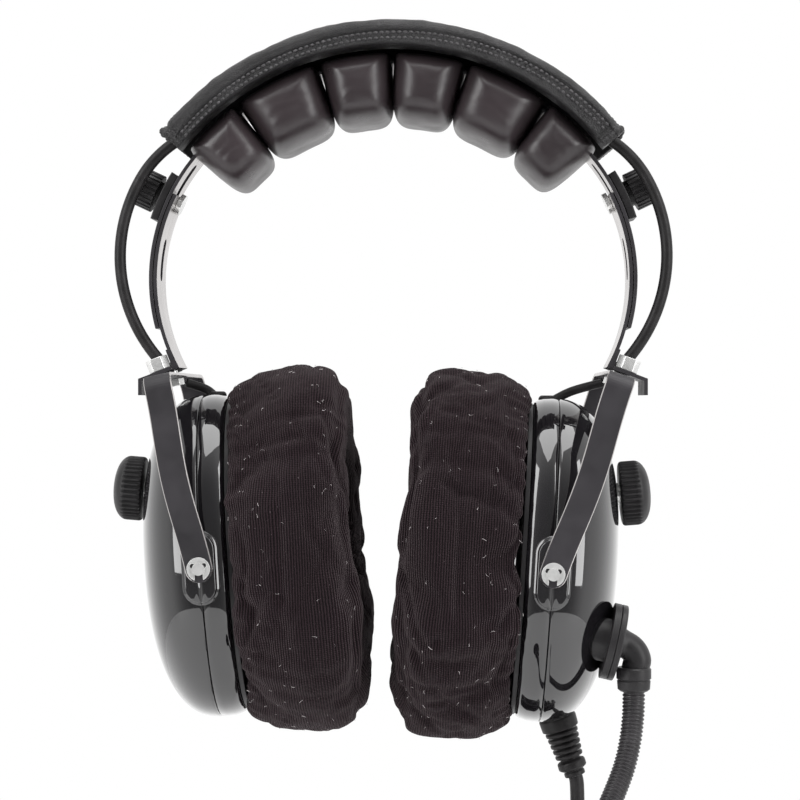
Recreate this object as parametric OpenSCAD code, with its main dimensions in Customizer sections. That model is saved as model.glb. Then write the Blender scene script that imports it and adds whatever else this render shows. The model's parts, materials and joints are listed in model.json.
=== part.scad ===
/* [Band] */
// Height of the crown arc's centre above the origin
crown_z = 84.4; // [80:0.1:90]
// Sideways offset of each side arc's centre
side_x = 16.8; // [14:0.1:20]
// Height of the side arcs' centres
side_z = 97.2; // [92:0.1:102]
// Radius to the inner face of the headband spring, from a side arc's centre
band_r = 62.4; // [58:0.1:68]
// Thickness of the spring steel strips
strip_t = 1.2; // [0.8:0.1:1.6]
// Width of the headband spring and of the arms
strip_w = 20; // [16:0.5:24]
// Polar angle of the spring's lower end, below the horizontal
spring_end = -15; // [-15:0.5:-12]

/* [Headpad] */
// Outer radius of the leather cover, from the crown arc's centre
cover_r = 96.9; // [94:0.1:100]
// Width of the cover from front to back
cover_w = 50; // [44:1:56]
// Thickness of the cover's pad above the pillows
cover_t = 9.4; // [8:0.1:11]
// Polar angle where the cover ends
cover_end = 38.4; // [38:0.1:42]
// Depth of the pillows below the cover
pillow_h = 23; // [18:0.5:24]
// Width of the pillows from front to back
pillow_w = 47; // [40:1:50]

/* [Arms] */
// Polar angle of the arm's upper end
arm_top = 27; // [25:0.5:28]
// Polar angle where the arm bends into its shelf
arm_bend = -28; // [-30:0.5:-26]
// Tilt of the shelf below the horizontal
shelf_tilt = 20.8; // [15:0.1:24]
// Length of the shelf
shelf_len = 13.8; // [12:0.1:16]
// Polar angle of the lock screw
lock_a = 25; // [24:0.5:26]
// Diameter of the knurled lock knob
lock_d = 13; // [11:0.5:14]

/* [Yokes] */
// Outward distance of the cup pivots, left and right
pivot_x = [59.6, 51.6];
// Height of the cup pivots, left and right
pivot_z = [4.2, 2.8];
// Width of the yoke's strip
yoke_w = 8.8; // [7:0.1:10]
// Inner distance from the cup's centre to a yoke leg
yoke_y = 41.6; // [41:0.1:44]

/* [Cups] */
// Half the height of a cup shell
cup_b = 53.6; // [50:0.1:56]
// Half the depth of a cup shell, front to back
cup_a = 39; // [36:0.1:40]
// Depth of the outer shell's dome
dome_h = 22.5; // [20:0.1:25]
// Depth of the inner shell
inner_h = 8.4; // [7:0.1:10]
// Wall thickness of the shells
wall = 2.2; // [1.8:0.1:2.6]
// Tilt of each cup, with its lower end inwards
cup_tilt = 3.5; // [0:0.5:5]
// Thickness of the ear seal
seal_t = 38; // [30:0.5:38]

/* [Knobs] */
// Diameter of the volume knobs
knob_d = 21.4; // [18:0.2:23]
// Height of the volume knobs
knob_h = 10.6; // [8:0.2:12]

/* [Boom] */
// Diameter of the boom's swivel flanges
flange_d = 24.6; // [20:0.2:27]
// Diameter of the gooseneck
goose_d = 7.3; // [6:0.1:8]

/* [Cable] */
// Diameter of the main cable
cable_d = 4.8; // [4:0.1:6]
// Diameter of each plug's lead
lead_d = 3.6; // [3:0.1:4]
// Mean radius of the stored coil
coil_r = 28; // [26:0.5:32]
// Radius of the coil's bundle
bundle_r = 7.6; // [7:0.1:9]
// Shaft radius of the phone plug
phone_r = 3.17; // [3.15:0.005:3.175]
// Shaft radius of the microphone plug
mic_plug_r = 2.62; // [2.55:0.01:2.65]

/* [Hidden] */
$fn = 48;

LEFT = 0;
RIGHT = 1;
far = 200;

// Band: the crown arc and the side arcs are tangent where their centres line up
crown_offset = norm([side_x, side_z - crown_z]);
join_a = atan2(side_z - crown_z, side_x);
spring_r2 = band_r + strip_t;
slot_r = 2.3;
spring_slot = [17, 36];

// Headpad
channel_w = 28;
channel_roof = 2.4;
pillow_gap = 0.3;
groove_w = 25;
groove_h = 4.2;
pillow_round = 8;
pillow_edges = [39, 53.7, 73.5, 90, 106.5, 126.3, 141];
pillow_split = 0.25;
notch_w = 7;
notch_deg = 12;

// Arms
arm_gap = 0.3;
arm_r2 = band_r - arm_gap;
arm_r1 = arm_r2 - strip_t;
arm_mid = (arm_r1 + arm_r2) / 2;
shelf_w = 26;
shelf_start = 1.6;
lip_h = 5;
bend_x = side_x + arm_mid * cos(arm_bend);
bend_z = side_z + arm_mid * sin(arm_bend);
arm_slot = [2, 11];
screw_r = 2;
screw_head_r = 3.6;
screw_head_h = 1.6;
block_gap = 0.3;
block_t = 2.8;
block_deg = 7.3;
block_w = 15;
collar_r = 4.4;
lock_r1 = 68.4;
lock_r2 = 76;
lock_cap = 2;
lock_ribs = 24;
lock_rib_h = 0.45;
run_gap = 0.06;

// Crossover cable: two tangent arcs beside the lock knob
cross_d = 3.8;
cross_y = -9.2;
low_r = 51.5;
low_x = 38.5;
low_z = 104.7;
low_a = -41;
meet_a = 30;
high_r = 35;
high_end = 58;
high_x = low_x + (low_r - high_r) * cos(meet_a);
high_z = low_z + (low_r - high_r) * sin(meet_a);
gland_u = 5.6;
gland_h = 4.4;
gland_flats = 6.6;
tab_u = 1.1;
tab_t = 1;
tab_w = 4;
tab_h = 6.4;

// Yokes: the swivel sits near the shelf's bend
swivel_u = 3.2;
swivel_drop = 2;
swivel_x = bend_x + swivel_u * cos(shelf_tilt) - swivel_drop * sin(shelf_tilt);
swivel_z = bend_z - swivel_u * sin(shelf_tilt) - swivel_drop * cos(shelf_tilt);
yoke_run = [for (i = [LEFT, RIGHT]) [swivel_x - pivot_x[i], swivel_z - pivot_z[i]]];
yoke_len = [for (r = yoke_run) norm(r)];
yoke_lean = [for (r = yoke_run) atan2(r[0], r[1])];
yoke_t = 1.2;
yoke_bend_r = 5;
pin_r = 2;
swivel_r = 1.5;
head_r = 2.2;
head_z = 3.3;
head_h = 1.3;
nut_r = 2.9;
nut_z = 3.4;

// Cups, in a frame with +X outwards and the pivot along Y
cup_up = 1.4;
seam_gap = 0.1;
inner_draw = 1.2;
shell_n = 44;
shell_steps = 8;
shell_power = 2.4;
oval_power = 2.2;
boss_r = 5;
boss_rise = 6;
boss_y = 41.3;
clip_y = 43.0;
clip_t = 0.7;
clip_r = 3.7;
seal_up = 2.7;
seal_x = -inner_h - 1.9;
seal_a = 46.2;
seal_b = 61;
ear_a = 19;
ear_b = 30;
cover_skin = 1.2;
baffle_t = 1.6;
speaker_r = 20;
speaker_t = 8;

// Volume knob
knob_x = 20.6;
knob_up = 24.5;
knob_tilt = -8;
knob_ribs = 30;
knob_rib_h = 0.55;
shaft_r = 3;
bushing_r = 3.8;

// Boom
boom_at = [71.8, -22, -20.5];
boom_tilt = 13;
flange_t = 2.1;
flange_gap = 0.15;
seat_gap = 0.4;
neck_r = 7;
neck_len = 13;
elbow_r = 4.4;
elbow_bend = 6.2;
elbow_deg = 77;
elbow_run = 1.6;
socket_wall = 0.7;
collar_at = [78.2, -22, -28];
goose_route = [[78.2, -22, -36.4], [78, -22, -44], [77, -23, -52], [75, -25, -60],
    [71.5, -29, -68], [67, -35, -76], [61, -44, -83.5], [54.5, -54, -89],
    [48, -65, -93], [41, -76.5, -95.5], [34.5, -88, -96.5], [30, -96, -96.5]];
mic_a = -119.4;
mic_r = 6.5;
mic_len = 15;
mic_neck = 2.5;
screen_r = 10.5;

// Cable
boot_hole_r = 6.6;
boot_at = [54.2, 0, -47.4];
boot_tilt = 17.5;
boot_len = 21;
cable_x = 61;
coil_z = -118;
coil_x = cable_x - coil_r;
drop_route = [[60.5, 0, -67.4], [61, 0, -70], [61.2, 0, -76], [61.2, 0, -84],
    [61.1, 0, -92], [61, 0, -100], [61, 0, -106]];
tie_r = 9.2;
tie_w = 6;
tail_route = [[61.5, 0, -128], [63, 0, -132], [65, 0, -136], [67, 0, -140], [68, 0, -143]];
y_top = [68, 0, -142];
y_len = 20;
y_neck = 8;
y_t = 6.4;
lead_gap = 7;
phone_route = [[61, 0, -161.6], [60.6, 0, -168], [59.6, 0, -176], [59.2, 0, -184]];
mic_route = [[75, 0, -161.6], [75.4, 0, -168], [76.4, 0, -176], [76.8, 0, -184]];
plug_body_r = 5.6;
plug_body_len = 32;
phone_len = 31;
mic_plug_len = 28;

// Colours
BLACK = "#1b1a1c";
CHARCOAL = "#2c2b2d";
LEATHER = "#1f1e20";
VINYL = "#2a2224";
STEEL = "#cfc8c6";
DARK_STEEL = "#4a484c";
SILVER = "#d8d8d6";
KNIT = "#2b2124";
BRASS = "#b89a5a";

// ---- helpers ----

// Arc of rectangular section about the Y axis, between two radii and two angles
module arc_strip(r1, r2, a1, a2, w) {
    rotate([90, 0, 0])
        rotate([0, 0, a1])
            rotate_extrude(angle = a2 - a1, $fn = 96)
                translate([r1, -w / 2])
                    square([r2 - r1, w]);
}

function unit(v) = v / norm(v);

// Points along an arc in the XZ plane
function arc_path(x, z, r, a1, a2, steps) =
    [for (k = [0 : steps]) let (a = a1 + (a2 - a1) * k / steps) [x + r * cos(a), z + r * sin(a)]];

// A path moved sideways by d, mitred at its corners
function beside(path, d) =
    let (last = len(path) - 1,
        turn = function(v) [-v[1], v[0]],
        dirs = [for (k = [0 : last - 1]) unit(path[k + 1] - path[k])])
    [for (k = [0 : last])
        let (a = turn(dirs[max(k - 1, 0)]), b = turn(dirs[min(k, last - 1)]))
        path[k] + d * (a + b) / (1 + a * b)];

// Strip of sheet metal that follows a path in the XZ plane
module ribbon(path, t, w) {
    near = beside(path, t / 2);
    away = beside(path, -t / 2);
    count = len(path);
    rotate([90, 0, 0])
        linear_extrude(height = w, center = true)
            polygon(concat(near, [for (k = [count - 1 : -1 : 0]) away[k]]));
}

// Slot through a curved strip, between two polar angles
module slot_cut(r, a1, a2) {
    hull()
        for (a = [a1, a2])
            rotate([0, -a, 0])
                rod_x(slot_r, r - 4, r + 4, 32);
}

// Arc of round section about the Y axis
module arc_tube(r, d, a1, a2) {
    rotate([90, 0, 0])
        rotate([0, 0, a1])
            rotate_extrude(angle = a2 - a1, $fn = 96)
                translate([r, 0])
                    circle(d = d, $fn = 32);
}

// Puts a shape made for the right side on either side
module on_side(i) {
    mirror([i == LEFT ? 1 : 0, 0, 0])
        children();
}

// Frame of a side arc
module at_side_arc() {
    translate([side_x, 0, side_z])
        children();
}

// Frame of the crown arc
module at_crown() {
    translate([0, 0, crown_z])
        children();
}

// Frame along a radius of the side arc, with +X outwards
module at_polar(a) {
    at_side_arc()
        rotate([0, -a, 0])
            children();
}

// Cylinder from x1 to x2 along +X
module rod_x(r, x1, x2, n = 48) {
    translate([x1, 0, 0])
        rotate([0, 90, 0])
            cylinder(r = r, h = x2 - x1, $fn = n);
}

// Cylinder from y1 to y2 along +Y
module rod_y(r, y1, y2, n = 48) {
    translate([0, y2, 0])
        rotate([90, 0, 0])
            cylinder(r = r, h = y2 - y1, $fn = n);
}

// Frame of the shelf, with +X along it and +Z out of its upper face
module at_shelf() {
    translate([bend_x, 0, bend_z])
        rotate([0, shelf_tilt, 0])
            children();
}

// Frame of a yoke: origin on the pivot axis, +Z up its legs
module at_yoke(i) {
    on_side(i)
        translate([pivot_x[i], 0, pivot_z[i]])
            rotate([0, yoke_lean[i], 0])
                children();
}

// Frame of a cup: origin on the pivot axis, +X outwards
module at_cup(i) {
    on_side(i)
        translate([pivot_x[i], 0, pivot_z[i]])
            rotate([0, cup_tilt, 0])
                children();
}

// Frame of a volume knob, +X along its shaft
module at_knob(i) {
    at_cup(i)
        translate([knob_x, 0, knob_up])
            rotate([0, knob_tilt, 0])
                children();
}

// Frame of the boom's swivel, +X along its axis
module at_boom() {
    translate(boom_at)
        rotate([0, boom_tilt, 0])
            children();
}

// Frame of the cable boot, +Z down the cable
module at_boot() {
    translate(boot_at)
        rotate([0, 180 - boot_tilt, 0])
            children();
}

function power_of(v, p) = sign(v) * pow(abs(v), 2 / p);

// Points of an oval ring at x, with half sizes a across and b up
function oval_ring(x, a, b, up) =
    [for (k = [0 : shell_n - 1])
        let (t = 360 * k / shell_n)
        [x, a * power_of(cos(t), oval_power), up + b * power_of(sin(t), oval_power)]];

// Closed solid through a list of rings with equal point counts
module loft(rings) {
    n = len(rings[0]);
    last = len(rings) - 1;
    sides = [for (i = [0 : last - 1]) for (k = [0 : n - 1])
        let (a = i * n + k, b = i * n + (k + 1) % n, c = b + n, d = a + n)
        each [[a, c, b], [a, d, c]]];
    ends = [[for (k = [0 : n - 1]) k], [for (k = [n - 1 : -1 : 0]) last * n + k]];
    polyhedron(points = [for (r = rings) each r], faces = concat(sides, ends), convexity = 6);
}

// Oval solid whose levels are [x, half depth, half height], listed from low x to high x
module oval_solid(levels, up) {
    loft([for (l = levels) oval_ring(l[0], l[1], l[2], up)]);
}

// Tube swept along a route of points
module swept_tube(route, d, n = 10) {
    last = len(route) - 1;
    ring = function(i)
        let (t = unit(route[min(i + 1, last)] - route[max(i - 1, 0)]),
            side = unit(cross(t, abs(t[1]) > 0.9 ? [1, 0, 0] : [0, 1, 0])),
            up = cross(t, side))
        [for (k = [0 : n - 1])
            route[i] + d / 2 * (cos(360 * k / n) * side + sin(360 * k / n) * up)];
    loft([for (i = [0 : last]) ring(i)]);
}

// Rectangle with round corners, made of exact pieces
module soft_rect(w, h, r) {
    square([w - 2 * r, h], center = true);
    square([w, h - 2 * r], center = true);
    for (x = [-1, 1], y = [-1, 1])
        translate([x * (w / 2 - r), y * (h / 2 - r)])
            circle(r = r, $fn = 24);
}

// ---- headband ----

module headband_spring() {
    mid = band_r + strip_t / 2;
    side = arc_path(side_x, side_z, mid, spring_end, join_a, 30);
    crown = arc_path(0, crown_z, mid + crown_offset, join_a, 90, 26);
    half = concat(side, [for (k = [1 : len(crown) - 1]) crown[k]]);
    whole = concat(half, [for (k = [len(half) - 2 : -1 : 0]) [-half[k][0], half[k][1]]]);
    color(STEEL)
        difference() {
            ribbon(whole, strip_t, strip_w);
            for (i = [LEFT, RIGHT])
                on_side(i)
                    at_side_arc()
                        slot_cut(mid, spring_slot[0], spring_slot[1]);
        }
}

module headpad_cover() {
    color(LEATHER)
        difference() {
            at_crown()
                arc_strip(cover_r - cover_t, cover_r, cover_end, 180 - cover_end, cover_w);
            at_crown()
                arc_strip(cover_r - cover_t - 1, cover_r - channel_roof,
                    cover_end - 1, 181 - cover_end, channel_w);
            for (i = [LEFT, RIGHT])
                on_side(i)
                    translate([0, cross_y, 0])
                        at_crown()
                            arc_strip(cover_r - cover_t, cover_r + 1,
                                cover_end - 1, cover_end + notch_deg, notch_w);
        }
}

// Pillow number k, counted from the right-hand end
module head_pillow(k) {
    top = cover_r - cover_t - pillow_gap;
    a1 = pillow_edges[k] + pillow_split;
    a2 = pillow_edges[k + 1] - pillow_split;
    color(VINYL)
        at_crown()
            rotate([90, 0, 0])
                rotate([0, 0, a1])
                    rotate_extrude(angle = a2 - a1, $fn = 96)
                        difference() {
                            translate([top - pillow_h / 2, 0])
                                soft_rect(pillow_h, pillow_w, pillow_round);
                            translate([top - groove_h, -groove_w / 2])
                                square([groove_h + 1, groove_w]);
                        }
}

// ---- arms ----

module arm(i) {
    shelf_end = [bend_x, bend_z] + (shelf_len - strip_t) * [cos(shelf_tilt), -sin(shelf_tilt)];
    path = concat(arc_path(side_x, side_z, arm_mid, arm_top, arm_bend, 28),
        [shelf_end, shelf_end - [0, lip_h]]);
    color(STEEL)
        difference() {
            on_side(i)
                union() {
                    ribbon(path, strip_t, shelf_w);
                    at_shelf()
                        translate([tab_u - tab_t / 2, cross_y - tab_w / 2, 0])
                            cube([tab_t, tab_w, tab_h]);
                }
            on_side(i) {
                at_shelf()
                    shelf_cuts();
                at_side_arc()
                    slot_cut(arm_mid, arm_slot[0], arm_slot[1]);
                at_polar(lock_a)
                    rod_x(screw_r + run_gap, arm_r1 - 3, arm_r2 + 3);
            }
            at_yoke(i)
                translate([0, 0, yoke_len[i]]) {
                    translate([0, 0, -swivel_drop])
                        cylinder(r = swivel_r + run_gap, h = 3 * swivel_drop);
                    translate([0, 0, head_z - run_gap])
                        cylinder(r = head_r + run_gap, h = head_h + 2 * run_gap);
                }
        }
}

// The strip is narrower than its shelf, which has a hole for the cable
module shelf_cuts() {
    for (m = [0, 1])
        mirror([0, m, 0])
            translate([-far, strip_w / 2, -far])
                cube([far + shelf_start, far, 2 * far]);
    translate([gland_u, cross_y, -6])
        cylinder(r = cross_d / 2 + run_gap, h = 12);
}

module lock_block(i) {
    color(CHARCOAL)
        on_side(i)
            difference() {
                at_side_arc()
                    arc_strip(spring_r2 + block_gap, spring_r2 + block_gap + block_t,
                        lock_a - block_deg, lock_a + block_deg, block_w);
                at_polar(lock_a)
                    rod_x(screw_r + run_gap, band_r, far);
            }
}

module lock_screw(i) {
    color(SILVER)
        on_side(i)
            at_polar(lock_a) {
                rod_x(screw_r, arm_r1 - 0.2, lock_r2 - lock_cap);
                rod_x(screw_head_r, arm_r1 - 0.1 - screw_head_h, arm_r1 - 0.1);
            }
}

module lock_knob(i) {
    color(CHARCOAL)
        on_side(i)
            at_polar(lock_a)
                difference() {
                    union() {
                        rod_x(collar_r, lock_r1 - 1.5, lock_r1);
                        translate([lock_r1, 0, 0])
                            rotate([0, 90, 0])
                                knurl(lock_d / 2, lock_r2 - lock_r1, lock_ribs, lock_rib_h);
                    }
                    rod_x(screw_r + run_gap, lock_r1 - 3, lock_r2 - lock_cap + 0.2);
                }
}

// Round grip with straight ribs, axis +Z
module knurl(r, h, ribs, depth) {
    step = 360 / ribs;
    linear_extrude(height = h)
        polygon([for (k = [0 : ribs - 1]) for (p = [[0, r], [0.45, r], [0.6, r - depth], [0.85, r - depth]])
            p[1] * [cos((k + p[0]) * step), sin((k + p[0]) * step)]]);
}

module cable_gland(i) {
    color(SILVER)
        on_side(i)
            at_shelf()
                translate([gland_u, cross_y, strip_t / 2 + 0.05])
                    difference() {
                        cylinder(d = gland_flats / cos(30), h = gland_h, $fn = 6);
                        translate([0, 0, -1])
                            cylinder(r = cross_d / 2 + run_gap, h = gland_h + 2);
                    }
}

module cross_cable(i) {
    color(CHARCOAL)
        on_side(i)
            translate([0, cross_y, 0]) {
                translate([low_x, 0, low_z])
                    arc_tube(low_r, cross_d, low_a, meet_a);
                translate([high_x, 0, high_z])
                    arc_tube(high_r, cross_d, meet_a, high_end);
            }
}

module yoke_screw(i) {
    color(SILVER)
        at_yoke(i)
            translate([0, 0, yoke_len[i]]) {
                translate([0, 0, -nut_z])
                    cylinder(r = swivel_r, h = nut_z + head_z + head_h);
                translate([0, 0, head_z])
                    cylinder(r = head_r, h = head_h);
                translate([0, 0, -nut_z])
                    cylinder(r = nut_r, h = nut_z - yoke_t, $fn = 6);
            }
}

// ---- yokes ----

module yoke(i) {
    top = yoke_len[i];
    leg = top - yoke_bend_r;
    crown = yoke_y + yoke_t - yoke_bend_r;
    color(DARK_STEEL)
        at_yoke(i) {
            difference() {
                translate([-yoke_w / 2, -crown, top - yoke_t])
                    cube([yoke_w, 2 * crown, yoke_t]);
                cylinder(r = swivel_r + run_gap, h = far);
            }
            for (m = [0, 1])
                mirror([0, m, 0]) {
                    translate([0, -crown, leg])
                        rotate([0, 90, 0])
                            rotate([0, 0, 180])
                                rotate_extrude(angle = 90)
                                    translate([yoke_bend_r - yoke_t, -yoke_w / 2])
                                        square([yoke_t, yoke_w]);
                    yoke_leg(leg);
                }
        }
}

module yoke_leg(leg) {
    difference() {
        union() {
            translate([-yoke_w / 2, -yoke_y - yoke_t, 0])
                cube([yoke_w, yoke_t, leg]);
            rod_y(yoke_w / 2, -yoke_y - yoke_t, -yoke_y);
        }
        rod_y(pin_r + run_gap, -far, 0);
    }
}

// ---- cups ----

// Levels of a dome of depth h over a seam of half sizes a and b
function dome_levels(h, a, b) =
    [for (k = [0 : shell_steps])
        let (u = sin(88 * k / shell_steps), s = pow(1 - pow(u, shell_power), 1 / shell_power))
        [h * u, a * s, b * s]];

module boss_pads() {
    for (m = [0, 1])
        mirror([0, m, 0])
            difference() {
                union() {
                    for (z = [-boss_rise, boss_rise])
                        translate([0, 0, z])
                            rod_y(boss_r, -boss_y, -cup_a + 5);
                    translate([-boss_r, -boss_y, -boss_rise])
                        cube([2 * boss_r, boss_y - cup_a + 5, 2 * boss_rise]);
                }
                rod_y(pin_r + run_gap, -far, 0);
            }
}

module outer_shell(i) {
    color(BLACK)
        difference() {
            at_cup(i)
                shell_half(dome_levels(dome_h, cup_a, cup_b),
                    dome_levels(dome_h - wall, cup_a - wall, cup_b - wall), seam_gap / 2);
            at_knob(i)
                rod_x(bushing_r + run_gap, -20, 20);
            if (i == RIGHT) {
                at_boom() {
                    rod_x(neck_r + run_gap, -neck_len, 20);
                    rod_x(flange_d / 2 + seat_gap, -flange_t - seat_gap, 20);
                }
                at_boot()
                    translate([0, 0, -20])
                        cylinder(r = boot_hole_r, h = 40);
            }
        }
}

// Half of the cup between its outer and inner surfaces, on the +X side of the seam
module shell_half(outside, inside, gap) {
    difference() {
        union() {
            oval_solid(outside, cup_up);
            intersection() {
                boss_pads();
                translate([0, -far / 2, -far / 2])
                    cube([far, far, far]);
            }
        }
        translate([-0.01, 0, 0])
            oval_solid(inside, cup_up);
        translate([-far + gap, -far / 2, -far / 2])
            cube([far, far, far]);
        for (m = [0, 1])
            mirror([0, m, 0])
                rod_y(pin_r + run_gap, -far, -10);
    }
}

// Levels of the inner half, whose walls draw in a little away from the seam, at d inside its surface
function inner_levels(d) =
    [for (l = [[0, 0], [inner_h / 2, 0.2], [inner_h, inner_draw]])
        [l[0], cup_a - l[1] - d, cup_b - l[1] - d]];

module inner_shell(i) {
    color(BLACK)
        difference() {
            at_cup(i)
                mirror([1, 0, 0])
                    shell_half(inner_levels(0), [for (k = [0, 2]) inner_levels(wall)[k] + [0.1 * k, 0, 0]],
                        seam_gap / 2);
            if (i == RIGHT)
                at_boot()
                    translate([0, 0, -20])
                        cylinder(r = boot_hole_r, h = 40);
        }
}

module baffle(i) {
    x = -inner_h - baffle_t - 0.1;
    color(CHARCOAL)
        at_cup(i)
            difference() {
                oval_solid([[x, cup_a - 2, cup_b - 2], [x + baffle_t, cup_a - 2, cup_b - 2]], cup_up);
                for (y = [-12 : 6 : 12], z = [-12 : 6 : 12])
                    translate([0, y, cup_up + z])
                        rod_x(1.6, x - 1, x + baffle_t + 1, 16);
            }
}

module speaker(i) {
    color(CHARCOAL)
        at_cup(i)
            translate([0, 0, cup_up])
                rod_x(speaker_r, -inner_h, -inner_h + speaker_t);
}

module pivot_pins(i) {
    color(SILVER)
        at_cup(i)
            for (m = [0, 1])
                mirror([0, m, 0])
                    rod_y(pin_r, -clip_y - clip_t - 0.6, -cup_a + 4);
}

module e_clips(i) {
    color(SILVER)
        at_cup(i)
            for (m = [0, 1])
                mirror([0, m, 0])
                    e_clip();
}

module e_clip() {
    difference() {
        rod_y(clip_r, -clip_y - clip_t, -clip_y);
        rod_y(pin_r + 0.02, -far, 0);
        translate([-1.3, -far, -far])
            cube([2.6, far * 2, far]);
        for (a = [60, 180, 300])
            rotate([0, a, 0])
                translate([0, 0, 2.1])
                    rod_y(0.75, -far, 0, 24);
    }
}

// Levels of the cushion from the head side to the cup side, shrunk by d all round
function seal_levels(d) =
    [for (l = [[1, 0.7, 0.78], [0.955, 0.85, 0.89], [0.86, 0.95, 0.965], [0.62, 1, 1],
            [0.34, 1, 1], [0.16, 0.955, 0.965], [0.05, 0.88, 0.91], [0, 0.84, 0.875]])
        [seal_x - seal_t * l[0] + d * (2 * l[0] - 1), seal_a * l[1] - d, seal_b * l[2] - d]];

// Mouth at the back of the cloth cover, where it stretches over the cushion
cover_mouth = [seal_x + 1, 0.84 * seal_a - cover_skin, 0.875 * seal_b - cover_skin];

module ear_hole(d) {
    oval_solid([[seal_x - seal_t - 5, ear_a + d, ear_b + d], [seal_x + 5, ear_a + d, ear_b + d]], seal_up);
}

module ear_seal(i) {
    color(BLACK)
        at_cup(i)
            difference() {
                oval_solid(seal_levels(cover_skin + 0.1), seal_up);
                ear_hole(cover_skin + 0.1);
            }
}

module seal_cover(i) {
    color(KNIT)
        at_cup(i)
            difference() {
                oval_solid(seal_levels(0), seal_up);
                ear_hole(0);
                difference() {
                    oval_solid(concat(seal_levels(cover_skin), [cover_mouth]), seal_up);
                    ear_hole(cover_skin);
                }
            }
}

// ---- volume controls ----

module volume_pot(i) {
    color(DARK_STEEL)
        at_knob(i) {
            rod_x(8, -13, -5);
            rod_x(bushing_r, -5, 1.2);
            rod_x(shaft_r, 1.2, knob_h - 1.5);
        }
}

module volume_knob(i) {
    color(CHARCOAL)
        at_knob(i)
            difference() {
                union() {
                    translate([1.6, 0, 0])
                        rotate([0, 90, 0])
                            knurl(knob_d / 2, knob_h - 3, knob_ribs, knob_rib_h);
                    translate([knob_h - 1.4, 0, 0])
                        rotate([0, 90, 0])
                            rotate_extrude()
                                polygon([[0, 0], [knob_d / 2 - 0.6, 0], [knob_d / 2 - 1.6, 1.2],
                                    [knob_d / 2 - 4, 2], [0, 2.5]]);
                }
                rod_x(shaft_r + run_gap, 0, knob_h - 1.3);
                rod_x(bushing_r + 0.3, 0, 1.7);
            }
}

// ---- boom ----

module boom_base() {
    color(CHARCOAL)
        at_boom() {
            rod_x(neck_r, -neck_len, -flange_t);
            rod_x(flange_d / 2, -flange_t - flange_gap / 2, -flange_gap / 2);
        }
}

module boom_elbow() {
    color(CHARCOAL)
        at_boom() {
            rod_x(flange_d / 2, flange_gap / 2, flange_t);
            rod_x(elbow_r + socket_wall, flange_t - 0.5, flange_t + elbow_run);
            translate([flange_t + elbow_run / 2, 0, -elbow_bend])
                arc_tube(elbow_bend, 2 * elbow_r, 90 - elbow_deg, 90);
        }
}

module boom_collar() {
    color(BLACK)
        translate(collar_at)
            mirror([0, 0, 1])
                rotate_extrude()
                    polygon([[0, 0.6], [5.1, 0.6], [5.6, 1.2], [5.6, 4.2], [5.1, 4.6],
                        [5.4, 5], [5.2, 7.6], [4.4, 8.3], [0, 8.3]]);
}

module gooseneck() {
    color(CHARCOAL)
        swept_tube(goose_route, goose_d, 12);
}

module at_mic() {
    translate(goose_route[len(goose_route) - 1])
        rotate([0, 0, mic_a])
            children();
}

module mic_housing() {
    color(CHARCOAL)
        at_mic() {
            rod_x(mic_r - 1.2, 0.1, mic_neck);
            rod_x(mic_r, mic_neck - 0.1, mic_len);
        }
}

module mic_windscreen() {
    color(BLACK)
        at_mic()
            difference() {
                translate([mic_len + 1, 0, 0])
                    sphere(r = screen_r, $fn = 36);
                rod_x(mic_r + 0.1, 0, mic_len + 0.1);
            }
}

// ---- cable ----

module strain_relief() {
    ribs = 5;
    pitch = 2.1;
    rib_z = 5.4;
    taper = 0.11;
    color(CHARCOAL)
        at_boot() {
            rotate_extrude()
                polygon([[0, 0], [5.8, 0], [6.3, 0.8], [6.1, 4.6], [4.6, 5.2], [3.8, boot_len - 5.4],
                    [4.6, boot_len - 4.8], [4.5, boot_len - 2.4], [3.1, boot_len - 1.2],
                    [3.1, boot_len], [0, boot_len]]);
            for (k = [0 : ribs - 1])
                translate([0, 0, rib_z + k * pitch])
                    cylinder(r = 5.6 - taper * k * pitch, h = pitch * 0.55);
        }
}

module cable_drop() {
    color(CHARCOAL)
        swept_tube(drop_route, cable_d, 10);
}

module cable_coil() {
    color(CHARCOAL)
        translate([coil_x, 0, coil_z])
            arc_tube(coil_r, 2 * bundle_r, 0, 360);
}

module cable_tie() {
    color(BLACK)
        translate([coil_x - coil_r, 0, coil_z])
            difference() {
                translate([0, 0, -tie_w / 2])
                    cylinder(r = tie_r, h = tie_w);
                translate([coil_r, 0, 0])
                    arc_tube(coil_r, 2 * bundle_r + 0.2, 0, 360);
            }
}

module cable_tail() {
    color(CHARCOAL)
        swept_tube(tail_route, cable_d, 10);
}

module y_boot() {
    color(CHARCOAL) {
        translate(y_top - [0, 0, y_neck])
            cylinder(r1 = 4.8, r2 = 3.4, h = y_neck);
        translate([y_top[0] - lead_gap - 3, -y_t / 2, y_top[2] - y_len + 0.4])
            cube([2 * lead_gap + 6, y_t, y_len - y_neck - 0.2]);
    }
}

module lead_phone() {
    color(CHARCOAL)
        swept_tube(phone_route, lead_d, 8);
}

module lead_mic() {
    color(CHARCOAL)
        swept_tube(mic_route, lead_d, 8);
}

// Plug with its body under the lead and its shaft pointing down
module plug(at, r, length) {
    groove = 0.5;
    color(CHARCOAL)
        translate(at)
            mirror([0, 0, 1]) {
                cylinder(r1 = 3.2, r2 = plug_body_r, h = 7);
                translate([0, 0, 7])
                    cylinder(r = plug_body_r, h = plug_body_len - 7);
            }
    color(BRASS)
        translate(at)
            mirror([0, 0, 1])
                translate([0, 0, plug_body_len - 1]) {
                    cylinder(r = r, h = length - 4);
                    rotate_extrude()
                        polygon([[0, length - 5], [r - groove, length - 5], [r - groove, length - 4],
                            [r, length - 3], [r * 0.5, length], [0, length]]);
                }
}

module plug_phone() {
    plug(phone_route[len(phone_route) - 1], phone_r, phone_len);
}

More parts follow.
